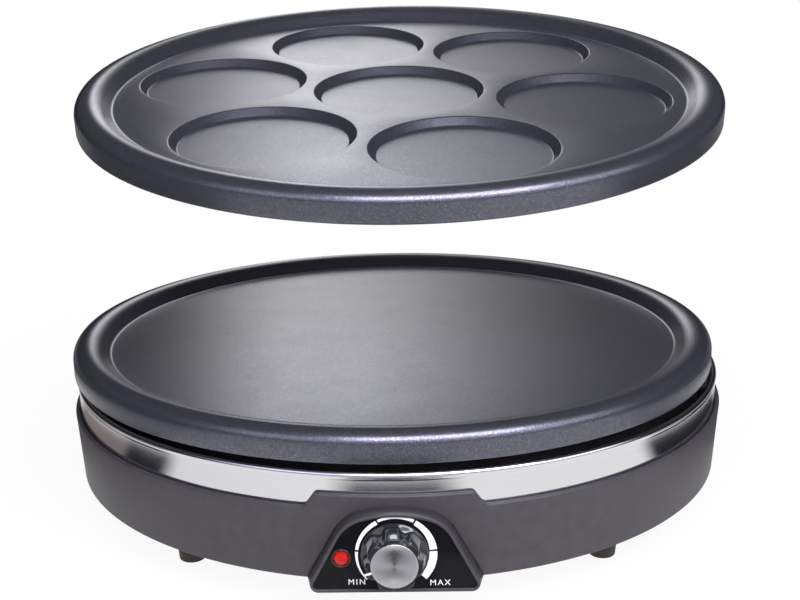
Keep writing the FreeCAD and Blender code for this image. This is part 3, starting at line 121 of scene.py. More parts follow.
charcoal = moulded("charcoal_moulding", (0.044, 0.038, 0.043), 0.46, 2600.0, 0.00006, 0.16)
dress(charcoal, "base_cover")


# Feet

# Four short tapered feet of dark moulding stand under the cover. Each is hollow, and a screw that goes in
# from below holds it.

foot_rubber = moulded("foot_moulding", (0.030, 0.022, 0.021), 0.6, 1800.0, 0.00008)
dress(foot_rubber, "foot_front_left", "foot_front_right", "foot_rear_left", "foot_rear_right")


# Screws

# Zinc-plated steel screws, turned and plated: they hold the cover, the feet, the pan, the bracket and the
# earth tag.

zinc = moulded("zinc_plate", (0.55, 0.55, 0.57), 0.32, 2200.0, 0.00001, 0.08, metal=1.0)
dress(zinc, "foot_screws", "cover_screws", "pan_screws", "bracket_screws", "terminal_screws", "earth_screw")


# Housing

# The shell is one moulding in matte charcoal plastic, a little wider at its top, with a rounded upper edge
# that rises over the control panel, a ledge inside for the band and the pan, and a boss for the cord gland.

SHELL_FOOT, SHELL_TOP, BUMP_TOP = 0.0144, 0.0486, 0.0548
SHELL_TOP_RADIUS, SHELL_FOOT_RADIUS, SHELL_BORE = 0.1709, 0.1687, 0.16855
LEDGE_TOP, LEDGE_BOTTOM, LEDGE_BORE = 0.0440, 0.0415, 0.14855
SHELL_WALL = 0.0024
LIP_ROUND = 0.00117
BUMP_HALF, RAMP_ROUND, RAMP_ANGLE = 0.0324, 0.0030, math.radians(55.0)


def new_mesh(name, vertices, faces, material, smooth=True):
    """A mesh object at the origin from an array of points and one of corner numbers."""
    mesh = bpy.data.meshes.new(name)
    mesh.from_pydata(np.asarray(vertices, float).tolist(), [], [list(map(int, face)) for face in faces])
    mesh.polygons.foreach_set("use_smooth", np.full(len(mesh.polygons), smooth))
    mesh.materials.append(material)
    mesh.update()
    made = bpy.data.objects.new(name, mesh)
    bpy.context.scene.collection.objects.link(made)
    return made


def grid_faces(rows, columns, wrap_rows, wrap_columns):
    """Corner numbers of the quads of a grid of points, numbered row after row: each quad joins point (i, j)
    to its neighbours in the next row and the next column, round the end where the grid is wrapped."""
    i = np.arange(rows if wrap_rows else rows - 1)[:, None]
    j = np.arange(columns if wrap_columns else columns - 1)[None, :]
    following_i, following_j = (i + 1) % rows, (j + 1) % columns
    corners = (i * columns + j, i * columns + following_j, following_i * columns + following_j,
               following_i * columns + j)
    return np.stack(corners, -1).reshape(-1, 4)


def weld(piece, gap=1e-7):
    """Joins points that lie in one place, as at a pole, and turns the faces outwards."""
    work = bmesh.new()
    work.from_mesh(piece.data)
    bmesh.ops.remove_doubles(work, verts=work.verts, dist=gap)
    bmesh.ops.dissolve_degenerate(work, dist=gap, edges=work.edges)
    bmesh.ops.recalc_face_normals(work, faces=work.faces)
    work.to_mesh(piece.data)
    work.free()
    return piece


def from_grid(name, grid, material, closed, smooth=True):
    """A welded mesh from a grid of points whose rows go round the piece. Where it is closed, each row too
    comes back to its start."""
    faces = grid_faces(*grid.shape[:2], True, closed)
    return weld(new_mesh(name, grid.reshape(-1, 3), faces, material, smooth))


def arc(centre, radius, start, end, count):
    """Points on a circle in the half section: centre + radius (cos a, sin a) for equal steps of a."""
    angle = np.radians(np.linspace(start, end, count))
    return np.column_stack([centre[0] + radius * np.cos(angle), centre[1] + radius * np.sin(angle)])


def ring_points(profile, count):
    """Sweeps a half section (r, z) round the upright axis: (r sin a, -r cos a, z) for count steps of a."""
    angle = np.linspace(0.0, 2 * np.pi, count, endpoint=False)[:, None]
    radius, height = profile[None, :, 0], profile[None, :, 1]
    height = np.broadcast_to(height, (count, len(profile)))
    return np.stack([radius * np.sin(angle), -radius * np.cos(angle), height], -1)


def bump_rise(across):
    """Height that the top edge gains at a distance from the centre line: a level part, then a ramp that
    starts and ends in arcs of one radius, tangent to a straight slope."""
    rise = BUMP_TOP - SHELL_TOP
    bend_x, bend_z = RAMP_ROUND * math.sin(RAMP_ANGLE), RAMP_ROUND * (1 - math.cos(RAMP_ANGLE))
    run = (rise - 2 * bend_z) / math.tan(RAMP_ANGLE)
    x = np.abs(across) - BUMP_HALF
    upper = rise - RAMP_ROUND + np.sqrt(np.clip(RAMP_ROUND ** 2 - x ** 2, 0, None))
    slope = rise - bend_z - (x - bend_x) * math.tan(RAMP_ANGLE)
    foot = RAMP_ROUND - np.sqrt(np.clip(RAMP_ROUND ** 2 - (x - 2 * bend_x - run) ** 2, 0, None))
    parts = [x <= 0, x <= bend_x, x <= bend_x + run, x <= 2 * bend_x + run]
    return np.select(parts, [rise, upper, slope, foot], 0.0)


def shell_points():
    """The wall's closed section at many angles: up the outside, over a lip of quarter rounds at the height
    that the top edge has at that angle, down inside to the ledge, round the ledge and down to the foot."""
    front_half, front_steps, rest_steps, wall_rows, lip_rows = 19.0, 261, 323, 9, 7
    foot_edge, wall_in, wall_down = 0.0005, 0.0004, 0.006
    fine = np.radians(np.linspace(-front_half, front_half, front_steps))
    coarse = np.radians(np.linspace(front_half, 360 - front_half, rest_steps))[1:-1]
    angle = np.concatenate([fine, coarse])[:, None]
    gain = bump_rise(SHELL_TOP_RADIUS * np.sin(angle)) * (np.cos(angle) > 0)
    over = np.radians(np.linspace(0, 90, lip_rows))
    under = np.radians(np.linspace(90, 180, lip_rows))
    low = SHELL_TOP - LIP_ROUND
    inside = np.array([[SHELL_BORE, LEDGE_TOP], [LEDGE_BORE, LEDGE_TOP], [LEDGE_BORE, LEDGE_BOTTOM],
                       [SHELL_BORE - 0.3 * SHELL_WALL, LEDGE_BOTTOM],
                       [SHELL_FOOT_RADIUS - SHELL_WALL, SHELL_FOOT]])
    radius = np.concatenate([
        [SHELL_FOOT_RADIUS - foot_edge],
        np.linspace(SHELL_FOOT_RADIUS, SHELL_TOP_RADIUS - wall_in, wall_rows),
        SHELL_TOP_RADIUS - LIP_ROUND + LIP_ROUND * np.cos(over),
        SHELL_BORE + LIP_ROUND + LIP_ROUND * np.cos(under),
        inside[:, 0],
    ])
    height = np.concatenate([
        [SHELL_FOOT],
        np.linspace(SHELL_FOOT + foot_edge, SHELL_TOP - wall_down, wall_rows),
        low + LIP_ROUND * np.sin(over), low + LIP_ROUND * np.sin(under),
        inside[:, 1],
    ])
    lifted = np.concatenate([np.zeros(1 + wall_rows), np.ones(2 * lip_rows), np.zeros(len(inside))])
    height = height[None, :] + lifted[None, :] * gain
    radius = np.broadcast_to(radius[None, :], height.shape)
    return np.stack([radius * np.sin(angle), -radius * np.cos(angle), height], -1)


housing = from_grid("housing_shell", shell_points(), charcoal, True)

POD_HEIGHT, POD_TOP_RADIUS, POD_SHOULDER_RADIUS, POD_CORNER_RADIUS = 0.0354, 0.0540, 0.0173, 0.0036
POD_TOP_ANGLE, POD_SIDE_ANGLE = 15.0, 62.0


def arch_path(inset=0.0, foot=0.0, corner=POD_CORNER_RADIUS, steps=10):
    """The panel's outline (x, height over the shell's foot), drawn in by an inset: from the lower corner on
    the +X side up the flank, over shoulder, wide top arc and other shoulder, and down again. Each arc is
    centre + radius (sin a, cos a), with the centre kept and the radius less the inset."""
    side, top = math.radians(POD_SIDE_ANGLE), math.radians(POD_TOP_ANGLE)
    reach = POD_TOP_RADIUS - POD_SHOULDER_RADIUS
    shoulder_x, shoulder_z = reach * math.sin(top), POD_HEIGHT - POD_TOP_RADIUS + reach * math.cos(top)
    shoulder, crown = POD_SHOULDER_RADIUS - inset, POD_TOP_RADIUS - inset
    flank = shoulder_x * math.sin(side) + shoulder_z * math.cos(side) + shoulder
    corner_z = foot + corner
    corner_x = (flank - corner - corner_z * math.cos(side)) / math.sin(side)

    def bend(centre_x, centre_z, radius, first, last, count):
        angle = np.linspace(first, last, count)
        return np.column_stack([centre_x + radius * np.sin(angle), centre_z + radius * np.cos(angle)])

    right = np.concatenate([
        bend(corner_x, corner_z, corner, math.pi, side, steps),
        bend(shoulder_x, shoulder_z, shoulder, side, top, 2 * steps),
        bend(0.0, POD_HEIGHT - POD_TOP_RADIUS, crown, top, 0.0, steps)[1:],
    ])
    left = right[::-1][1:] * [-1, 1]
    return np.concatenate([right, left])


def prism(name, path, front, back, material):
    """A closed outline (x, height) between two depths along Y."""
    loops = [np.column_stack([path[:, 0], np.full(len(path), depth), path[:, 1]]) for depth in (front, back)]
    count = len(path)
    faces = [list(face) for face in grid_faces(2, count, False, True)]
    faces += [list(range(count)), list(range(2 * count - 1, count - 1, -1))]
    return weld(new_mesh(name, np.concatenate(loops), faces, material, smooth=False))


def carve(piece, cutter):
    """Takes the cutter out of the piece with an exact Boolean, and removes the cutter."""
    change = piece.modifiers.new("carve", "BOOLEAN")
    change.object, change.operation, change.solver = cutter, "DIFFERENCE", "EXACT"
    with bpy.context.temp_override(object=piece, active_object=piece, selected_objects=[piece]):
        bpy.ops.object.modifier_apply(modifier=change.name)
    bpy.data.objects.remove(cutter)
    return piece


OPENING_WIDER, OPENING_UNDER, OPENING_FRONT, OPENING_BACK = 0.0004, 0.0002, -0.2, -0.10
opening = arch_path(-OPENING_WIDER, -OPENING_WIDER) + [0.0, SHELL_FOOT]
opening[:, 1] = np.minimum(opening[:, 1], LEDGE_BOTTOM - OPENING_UNDER)
carve(housing, prism("opening", opening, OPENING_FRONT, OPENING_BACK, charcoal))
housing.data.set_sharp_from_angle(angle=math.radians(35))
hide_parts("housing")
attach(housing, "base")


def rounded_square(half, radius, count=6):
    """Outline of a square with rounded corners: each corner is a quarter circle about its own centre."""
    return np.concatenate([
        arc((x * (half - radius), z * (half - radius)), radius, 90 * turn, 90 * turn + 90, count)
        for turn, (x, z) in enumerate([(1, 1), (-1, 1), (-1, -1), (1, -1)])])


INLET_Z, INLET_HALF, INLET_START, INLET_END, INLET_BORE = 0.0300, 0.0120, 0.150, 0.1800, 0.0071
INLET_CORNER, INLET_EDGE = 0.0025, 0.0012
DRUM_RADIUS, DRUM_LOW, DRUM_HIGH, DRUM_STEPS = 0.1655, -0.01, 0.06, 128
shrink = [[0.0, INLET_START], [0.0, INLET_END - INLET_EDGE], [INLET_EDGE / 3, INLET_END - INLET_EDGE / 3],
          [INLET_EDGE, INLET_END]]
square = rounded_square(INLET_HALF, INLET_CORNER)
square_angle = np.unwrap(np.arctan2(square[:, 1], square[:, 0]))
circle = INLET_BORE * np.column_stack([np.cos(square_angle), np.sin(square_angle)])
loops = [np.column_stack([square[:, 0] * (1 - inset / INLET_HALF), np.full(len(square), depth),
                          INLET_Z + square[:, 1] * (1 - inset / INLET_HALF)]) for inset, depth in shrink]
loops += [np.column_stack([circle[:, 0], np.full(len(square), depth), INLET_Z + circle[:, 1]])
          for depth in (INLET_END, INLET_START)]
inlet = from_grid("housing_inlet", np.stack(loops), charcoal, True)
drum_section = np.array([[0.0, DRUM_LOW], [DRUM_RADIUS, DRUM_LOW], [DRUM_RADIUS, DRUM_HIGH],
                         [0.0, DRUM_HIGH]])
carve(inlet, from_grid("drum", ring_points(drum_section, DRUM_STEPS), charcoal, False))
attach(inlet, "base")

POST_CIRCLE, POST_RADIUS, POST_BORE, POST_FOOT = 0.157, 0.0045, 0.00165, 0.0178
POSTS, POST_STEPS = 6, 24
post_section = np.array([[POST_BORE, POST_FOOT], [POST_RADIUS, POST_FOOT], [POST_RADIUS, LEDGE_BOTTOM],
                         [POST_BORE, LEDGE_BOTTOM]])
one_post = ring_points(post_section, POST_STEPS).reshape(-1, 3)
post_angle = np.radians(360 / POSTS * np.arange(POSTS))
shift = POST_CIRCLE * np.column_stack([np.cos(post_angle), np.sin(post_angle), np.zeros(POSTS)])
post_points = (one_post[None] + shift[:, None]).reshape(-1, 3)
post_faces = np.concatenate([grid_faces(POST_STEPS, len(post_section), True, True) + len(one_post) * n
                             for n in range(POSTS)])
posts = weld(new_mesh("housing_posts", post_points, post_faces, charcoal, smooth=False))
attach(posts, "base")


# Cord gland

# A rubber gland, pushed into the boss at the back, through which a supply cord would pass. The object is
# made without its cord.

gland_rubber = moulded("gland_rubber", (0.022, 0.022, 0.023), 0.62, 1500.0, 0.00007)
dress(gland_rubber, "cord_gland")


# Steel band

# A strip of bright stainless steel is rolled into a ring that stands on the ledge. Its top edge is curled
# outwards into a bead, and the sheet shows fine lines along its length from rolling.

BAND_WALL, BAND_SHEET = 0.1684, 0.0006
BEAD_RADIUS, BEAD_CENTRE = 0.00185, (0.16685, 0.06195)


def along_ring(profile, count):
    """Points and faces of a swept half section, and for each point its turn round the axis and its place
    along the section, from 0 to 1."""
    points = ring_points(profile, count)
    points = np.concatenate([points, points[:1]])
    faces = grid_faces(count + 1, len(profile), False, True)
    step = np.append(0.0, np.cumsum(np.linalg.norm(np.diff(profile, axis=0), axis=1)))
    u = np.repeat(np.arange(count + 1) / count, len(profile))
    v = np.tile(step / step[-1], count + 1)
    return points.reshape(-1, 3), faces, np.column_stack([u, v])


def map_flat(piece, flat):
    """Writes two numbers for each point as the piece's UV map."""
    corners = np.empty(len(piece.data.loops), int)
    piece.data.loops.foreach_get("vertex_index", corners)
    piece.data.uv_layers.new(name="UVMap").data.foreach_set("uv", flat[corners].ravel())


def tones(node, noise, dark, light):
    """A colour between a dark and a light one, by a noise."""
    ramp = node("ValToRGB", Fac=noise.outputs["Fac"])
    for stop, colour in zip(ramp.color_ramp.elements, (dark, light)):
        stop.color = [*colour, 1.0]
    return ramp.outputs["Color"]


def rolled_steel(name):
    """Bright metal with lines along the sheet: noise with few cells round the ring and many across it, read
    from the UV map, which tints and slightly tips the surface. A slow noise varies the polish."""
    material, shader, node, link = new_material(name)
    stretched = node("Mapping", Vector=node("UVMap").outputs["UV"])
    stretched.inputs["Scale"].default_value = (6.0, 420.0, 1.0)
    lines = node("TexNoise", Vector=stretched.outputs[0], Scale=1.0, Detail=4.0, Roughness=0.65)
    place = node("TexCoord").outputs["Object"]
    cloud = node("TexNoise", Vector=place, Scale=22.0, Detail=2.0)
    link(tones(node, lines, (0.68, 0.68, 0.70), (0.86, 0.86, 0.87)), shader.inputs["Base Color"])
    link(map_range(node, cloud.outputs["Fac"], 0.0, 1.0, 0.08, 0.15), shader.inputs["Roughness"])
    shader.inputs["Metallic"].default_value = 1.0
    bump = node("Bump", Strength=0.25, Distance=0.00002, Height=lines.outputs["Fac"])
    link(bump.outputs["Normal"], shader.inputs["Normal"])
    return material


BAND_STEPS = 360
band_section = np.concatenate([
    [[LEDGE_BORE, LEDGE_TOP], [BAND_WALL, LEDGE_TOP], [BAND_WALL, 0.0600]],
    [[BAND_WALL, BEAD_CENTRE[1] - 0.0013], [BAND_WALL + 0.00005, BEAD_CENTRE[1] - 0.0009]],
    arc(BEAD_CENTRE, BEAD_RADIUS, -22.0, 180.0, 22),
    [[BAND_WALL - BAND_SHEET, BEAD_CENTRE[1] - 0.0016], [BAND_WALL - BAND_SHEET, LEDGE_TOP + BAND_SHEET],
     [LEDGE_BORE, LEDGE_TOP + BAND_SHEET]],
])
bright_steel = rolled_steel("rolled_stainless")
points, faces, flat = along_ring(band_section, BAND_STEPS)
band = new_mesh("band_ring", points, faces, bright_steel)
map_flat(band, flat)
band.data.set_sharp_from_angle(angle=math.radians(40))
weld(band)
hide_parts("steel_band")
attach(band, "base")


# Element pan and its guides

# A deep-drawn pan with a baked dark enamel stands on the band's flange; its near-black tone is partly
# painted shade, so that the gap under the plate's rim looks dark. Its ledge carries the plate, and the
# heating tube lies inside. Thin fins of bright steel on its wall keep a plate in the middle.

# Near-black: the pan's own dark enamel, darkened further as painted shade for the gap under the plate's rim.
pan_coat_and_painted_shade = moulded("near_black_pan_coat_painted_shade", (0.016, 0.013, 0.013), 0.38, 900.0, 0.00002, 0.2)
dress(pan_coat_and_painted_shade, "element_pan")
sheet_steel = moulded("pressed_steel", (0.66, 0.66, 0.67), 0.26, 2400.0, 0.00001, 0.06, metal=1.0)
dress(sheet_steel, "plate_guides", "heat_shield", "shield_spacers", "thermostat_bracket", "sensor_clip",
      "element_clips", "fuse_clip")


# Heating element

# A sheathed tube, bent into an outer and an inner ring, with a dull grey-brown skin from its first heating.
# Ceramic bushings carry its two legs through the pan, and brass spades end them.

sheath = moulded("oxidised_sheath", (0.21, 0.19, 0.17), 0.45, 700.0, 0.00003, 0.25, metal=0.8)
dress(sheath, "heating_element")
ceramic = moulded("bare_ceramic", (0.78, 0.75, 0.69), 0.7, 1600.0, 0.00005, 0.05)
dress(ceramic, "element_bushings")
brass = moulded("plain_brass", (0.74, 0.52, 0.20), 0.3, 1800.0, 0.00001, 0.1, metal=1.0)
dress(brass, "element_terminals")


# Thermostat, sensor and wiring

# A thermostat behind the panel reads the sensor bulb under the plate through a copper capillary tube. A
# thermal fuse, a terminal block and sleeved wires complete the circuit inside the housing.

switch_body = moulded("switch_moulding", (0.72, 0.69, 0.62), 0.5, 1400.0, 0.00003, 0.05)
dress(switch_body, "thermostat_body", "terminal_block")
turned_steel = moulded("turned_steel", (0.60, 0.60, 0.62), 0.25, 3000.0, 0.00001, 0.06, metal=1.0)
dress(turned_steel, "thermostat_shaft", "thermostat_bush")
copper = moulded("drawn_copper", (0.70, 0.36, 0.22), 0.3, 1500.0, 0.00001, 0.12, metal=1.0)
dress(copper, "sensor_bulb", "capillary_tube")
fuse_case = moulded("fuse_case", (0.62, 0.62, 0.60), 0.35, 2000.0, 0.00001, 0.06, metal=1.0)
dress(fuse_case, "thermal_fuse")
brown = moulded("brown_sleeve", (0.12, 0.045, 0.02), 0.5, 900.0, 0.00003)
dress(brown, "live_wire", "thermostat_wire")
glass_sleeve = moulded("woven_glass_sleeve", (0.72, 0.70, 0.64), 0.8, 2600.0, 0.00012, 0.1)
dress(glass_sleeve, "fuse_wire", "lamp_leads")
blue = moulded("blue_sleeve", (0.02, 0.08, 0.35), 0.5, 900.0, 0.00003)
dress(blue, "neutral_wire")
green = moulded("green_sleeve", (0.08, 0.28, 0.04), 0.5, 900.0, 0.00003)
dress(green, "earth_wire")


# Control panel

# An arched pod, moulded in the charcoal of the housing, stands out at the front with a raised lip. A plate
# of gloss black, with a white scale printed on it, is set inside the lip.

POD_FRONT, PANEL_FACE, POD_ROOT, POD_FLARE = 0.1785, 0.1777, 0.1635, 0.0003
PANEL_SEAT, PANEL_BACK, POD_WALL, POD_ROOT_CORNER = 0.1765, 0.1745, 0.0020, 0.0006
LIP_WIDTH, EDGE_ROUND = 0.0015, 0.00045
KNOB_Z, LAMP_X, LAMP_Z, BUSH_HOLE, LAMP_HOLE = 0.0317, -0.0223, 0.0300, 0.0052, 0.0038
BOSS_X, BOSS_Z, BOSS_RADIUS, BOSS_BORE, BOSS_END = 0.0185, 0.0212, 0.0032, 0.0011, 0.1605
BORE_END, HOLE_FRONT, HOLE_BACK, TINY, RING_STEPS = 0.15, 0.19, 0.16, 0.0001, 48


def pod_points():
    """The arch carried along a section (inset, depth): the flared side, a small round on to the lip, the
    level lip, a small round into the recess, and the recess's wall down to the gloss plate."""
    outer, inner = np.radians(np.linspace(180, 90, 6)), np.radians(np.linspace(90, 0, 6))
    section = np.concatenate([
        [[-POD_FLARE, -POD_ROOT]],
        np.column_stack([EDGE_ROUND + EDGE_ROUND * np.cos(outer),
                         -POD_FRONT + EDGE_ROUND - EDGE_ROUND * np.sin(outer)]),
        np.column_stack([LIP_WIDTH - EDGE_ROUND + EDGE_ROUND * np.cos(inner),
                         -POD_FRONT + EDGE_ROUND - EDGE_ROUND * np.sin(inner)]),
        [[LIP_WIDTH, -PANEL_SEAT], [POD_WALL, -PANEL_BACK], [POD_WALL, -POD_ROOT]],
    ])
    loops = []
    for inset, depth in section:
        share = min(1.0, max(0.0, inset) / LIP_WIDTH)
        corner = POD_CORNER_RADIUS * (1 - share) + POD_CORNER_RADIUS / 2 * share
        corner = POD_ROOT_CORNER if inset < 0 else corner
        path = arch_path(inset, max(inset, 0.0), corner)
        loops.append(np.column_stack([path[:, 0], np.full(len(path), depth), path[:, 1] + SHELL_FOOT]))
    return np.stack(loops)


fascia = from_grid("fascia_pod", pod_points(), charcoal, True)


def facing(points, x=0.0, z=KNOB_Z, ahead=0.0):
    """Turns a shape made about the upright axis to face the front: (x, y, z) goes to (x, -z, y)."""
    return np.stack([points[..., 0] + x, -(PANEL_FACE + ahead) - points[..., 2], points[..., 1] + z], -1)


def rod(name, radius, x, z, front, back):
    """A closed cylinder along Y between two depths."""
    section = np.array([[0.0, back], [radius, back], [radius, front], [0.0, front]])
    turned = facing(ring_points(section - [0.0, PANEL_FACE], RING_STEPS), x, z)
    return from_grid(name, turned, charcoal, False)


back_inset = POD_WALL - 2 * TINY
back_path = arch_path(back_inset, back_inset, POD_CORNER_RADIUS / 2) + [0.0, SHELL_FOOT]
panel_wall = prism("panel_wall", back_path, -PANEL_SEAT, -PANEL_BACK, charcoal)
carve(panel_wall, rod("bush_hole", BUSH_HOLE, 0.0, KNOB_Z, HOLE_FRONT, HOLE_BACK))
carve(panel_wall, rod("lamp_hole", LAMP_HOLE, LAMP_X, LAMP_Z, HOLE_FRONT, HOLE_BACK))
bosses = [carve(rod(f"boss{side + 1}", BOSS_RADIUS, side * BOSS_X, BOSS_Z, PANEL_BACK + TINY, BOSS_END),
                rod("boss_bore", BOSS_BORE, side * BOSS_X, BOSS_Z, PANEL_BACK, BORE_END))
          for side in (-1, 1)]
for moulding in [fascia, panel_wall] + bosses:
    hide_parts("control_fascia")
    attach(moulding, "base")

gloss = moulded("gloss_black", (0.006, 0.006, 0.007), 0.07, 300.0, 0.000002, 0.2)
gloss.node_tree.nodes["Principled BSDF"].inputs["Specular IOR Level"].default_value = 0.12
dress(gloss, "face_plate")

white_ink = moulded("white_ink", (0.82, 0.82, 0.82), 0.5, 2500.0, 0.00001, 0.05)
SCALE_RADIUS, SCALE_X, SCALE_STEPS, INK = 0.0171, 0.0006, 40, 0.00006
LETTER_HEIGHT, CAPITAL_SHARE, LETTER_SPACE = 0.0025, 0.7, 1.28


def scale_piece(first, last, width_first, width_last):
    """A flat printed arc whose inner edge draws away as it turns: outer radius fixed, width running evenly
    from one end to the other, angles clockwise from the top."""
    angle = np.radians(np.linspace(first, last, SCALE_STEPS))
    width = np.linspace(width_first, width_last, SCALE_STEPS)
    loops = []
    for radius, depth in ((SCALE_RADIUS, PANEL_FACE), (SCALE_RADIUS, PANEL_FACE + INK),
                          (SCALE_RADIUS - width, PANEL_FACE + INK), (SCALE_RADIUS - width, PANEL_FACE)):
        loops.append(np.column_stack([SCALE_X + radius * np.sin(angle), np.full(SCALE_STEPS, -depth),
                                      KNOB_Z + radius * np.cos(angle)]))
    return np.stack(loops)


parts = [scale_piece(-133, -86.2, 0.0005, 0.0013), scale_piece(-83.2, -29.6, 0.0013, 0.0018),
         scale_piece(-26.8, 26.8, 0.0011, 0.0014), scale_piece(29.6, 83.2, 0.0022, 0.0031),
         scale_piece(86.2, 133, 0.0032, 0.0036)]
scale_points = np.concatenate([part.reshape(-1, 3) for part in parts])
ends = np.array([SCALE_STEPS * np.arange(4), SCALE_STEPS * np.arange(4, 0, -1) - 1])
scale_faces = np.concatenate([np.concatenate([grid_faces(4, SCALE_STEPS, True, False), ends])
                              + 4 * SCALE_STEPS * n for n in range(len(parts))])
scale = weld(new_mesh("printed_scale", scale_points, scale_faces, white_ink, smooth=False))


def word(text, x, z):
    """Flat printed capitals, made a mesh first and then stood up on the panel round a middle point."""
    curve = bpy.data.curves.new("word", "FONT")
    curve.body, curve.size, curve.extrude = text, LETTER_HEIGHT / CAPITAL_SHARE, INK / 2
    curve.align_x, curve.space_character = "CENTER", LETTER_SPACE
    holder = bpy.data.objects.new("word", curve)
    bpy.context.scene.collection.objects.link(holder)
    bpy.context.view_layer.update()
    mesh = bpy.data.meshes.new_from_object(holder.evaluated_get(bpy.context.evaluated_depsgraph_get()))
    bpy.data.objects.remove(holder)
    place = Matrix.Translation((x, -PANEL_FACE - INK / 2, z - LETTER_HEIGHT / 2))
    mesh.transform(place @ Matrix.Rotation(math.pi / 2, 4, "X"))
    mesh.materials.clear()
    mesh.materials.append(white_ink)
    made = bpy.data.objects.new("word_" + text.lower(), mesh)
    bpy.context.scene.collection.objects.link(made)
    return made


for printed in (scale, word("MIN", -0.0160, 0.0191), word("MAX", 0.0188, 0.0185)):
    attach(printed, "base")


# Lamp

# A small neon lamp stands behind a clear red lens with cut facets. A turned black ring holds the lens in
# the panel.

LENS_RADIUS, FACETS = 0.0034, 8


def lens_red():
    """Clear red moulding: light passes in part, and noise clouds it slightly."""
    material, shader, node, link = new_material("clear_red")
    place = node("TexCoord").outputs["Object"]
    cloud = node("TexNoise", Vector=place, Scale=900.0, Detail=2.0)
    link(tones(node, cloud, (0.42, 0.004, 0.004), (0.70, 0.012, 0.010)), shader.inputs["Base Color"])
    shader.inputs["Roughness"].default_value = 0.12
    shader.inputs["Transmission Weight"].default_value = 0.25
    shader.inputs["IOR"].default_value = 1.49
    return material


lens_section = np.array([[0.0, -0.0022], [LENS_RADIUS, -0.0022], [LENS_RADIUS, 0.0003], [0.0027, 0.0011],
                         [0.0013, 0.0016], [0.0, 0.0016]])
lens_points = facing(ring_points(lens_section, FACETS), LAMP_X, LAMP_Z)
lens = from_grid("lens_faceted", lens_points, lens_red(), False, smooth=False)
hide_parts("lamp_lens")
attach(lens, "base")

BEZEL_RADIUS, BEZEL_BACK, BEZEL_WALL, LENS_GAP = 0.0042, -0.0092, 0.0003, 0.00005
bezel_section = np.concatenate([
    [[LENS_RADIUS + LENS_GAP, BEZEL_BACK], [LENS_RADIUS + BEZEL_WALL, BEZEL_BACK],
     [LENS_RADIUS + BEZEL_WALL, 0.0], [BEZEL_RADIUS, 0.0]],
    arc((BEZEL_RADIUS - BEZEL_WALL, 0.0002), BEZEL_WALL, 0, 180, 8),
    [[LENS_RADIUS + LENS_GAP, 0.0002]],
])
black_gloss = moulded("bezel_black", (0.05, 0.045, 0.045), 0.18, 1200.0, 0.00001, metal=0.5)
bezel_points = facing(ring_points(bezel_section, RING_STEPS), LAMP_X, LAMP_Z)
bezel = from_grid("bezel_ring", bezel_points, black_gloss, True)
bezel.data.set_sharp_from_angle(angle=math.radians(50))
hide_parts("lamp_bezel")
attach(bezel, "base")

neon = moulded("neon_glass", (0.75, 0.30, 0.18), 0.08, 800.0, 0.00001, 0.1)
neon.node_tree.nodes["Principled BSDF"].inputs["Transmission Weight"].default_value = 0.5
dress(neon, "neon_lamp")


# Knob

# The knob is a smooth black moulding with seven lobes and a low skirt. A disc of spun aluminium is glued in
# its face, and a short white bar beside the disc marks the setting.

KNOB_RADIUS, KNOB_SKIRT, KNOB_DEPTH = 0.0130, 0.0142, 0.0113
LOBES, GROOVE_RADIUS, GROOVE_DEPTH, POINTER = 7, 0.0032, 0.0018, 197.4
CAP_RADIUS, CAP_SEAT, KNOB_FACE, KNOB_EDGE = 0.00975, 0.0006, 0.0119, 0.0005


def groove_depth_at(angle):
    """How far a groove cuts in at an angle: the knob's radius less the near side of a circle whose centre
    lies outside it, then averaged over a few degrees so that lobes and grooves run into each other."""
    pitch = 2 * np.pi / LOBES
    nearest = (angle - math.radians(POINTER) + pitch / 2) % pitch
    nearest = np.minimum(nearest, pitch - nearest)
    centre = KNOB_RADIUS + GROOVE_RADIUS - GROOVE_DEPTH
    inside = np.clip(GROOVE_RADIUS ** 2 - (centre * np.sin(nearest)) ** 2, 0, None)
    edge = np.where(inside > 0, centre * np.cos(nearest) - np.sqrt(inside), KNOB_RADIUS)
    cut = KNOB_RADIUS - np.minimum(edge, KNOB_RADIUS)
    reach, width = 10, 4.0
    window = np.exp(-0.5 * (np.arange(-reach, reach + 1) / width) ** 2)
    wrapped = np.concatenate([cut[-reach:], cut, cut[:reach]])
    return np.convolve(wrapped, window / window.sum(), "valid")


def knob_points(count=504):
    """Outside of the knob: a section (r, height, share of the groove) swept round, each radius less the
    groove at that angle times its share. The share runs from none at the skirt to whole at the lobes."""
    angle = np.linspace(0, 2 * np.pi, count, endpoint=False)
    section = [(0.0055, 0.0010, 0.0), (0.0098, 0.0005, 0.0), (KNOB_SKIRT - 0.0002, 0.0005, 0.0),
               (KNOB_SKIRT, 0.0007, 0.0), (KNOB_SKIRT, 0.0011, 0.0), (KNOB_SKIRT - 0.0002, 0.0014, 0.0),
               (KNOB_RADIUS + 0.0003, 0.0019, 0.25), (KNOB_RADIUS, 0.0025, 0.85),
               (KNOB_RADIUS - 0.0002, 0.0032, 1.0), (KNOB_RADIUS - 0.0006, 0.0060, 1.0)]
    section += [(KNOB_FACE - KNOB_EDGE + KNOB_EDGE * math.cos(turn),
                 KNOB_DEPTH - KNOB_EDGE + KNOB_EDGE * math.sin(turn), 1.0)
                for turn in np.radians(np.linspace(0, 90, 6))]
    section += [(CAP_RADIUS + 0.0005, KNOB_DEPTH, 0.15), (CAP_RADIUS + 0.0001, KNOB_DEPTH - 0.0001, 0.0),
                (CAP_RADIUS + 0.0001, KNOB_DEPTH - CAP_SEAT, 0.0), (0.0, KNOB_DEPTH - CAP_SEAT, 0.0)]
    radius, height, share = np.array(section).T
    cut = groove_depth_at(angle)
    reach = radius[None, :] - cut[:, None] * share[None, :]
    return np.stack([reach * np.cos(angle)[:, None], reach * np.sin(angle)[:, None],
                     np.broadcast_to(height, reach.shape)], -1)


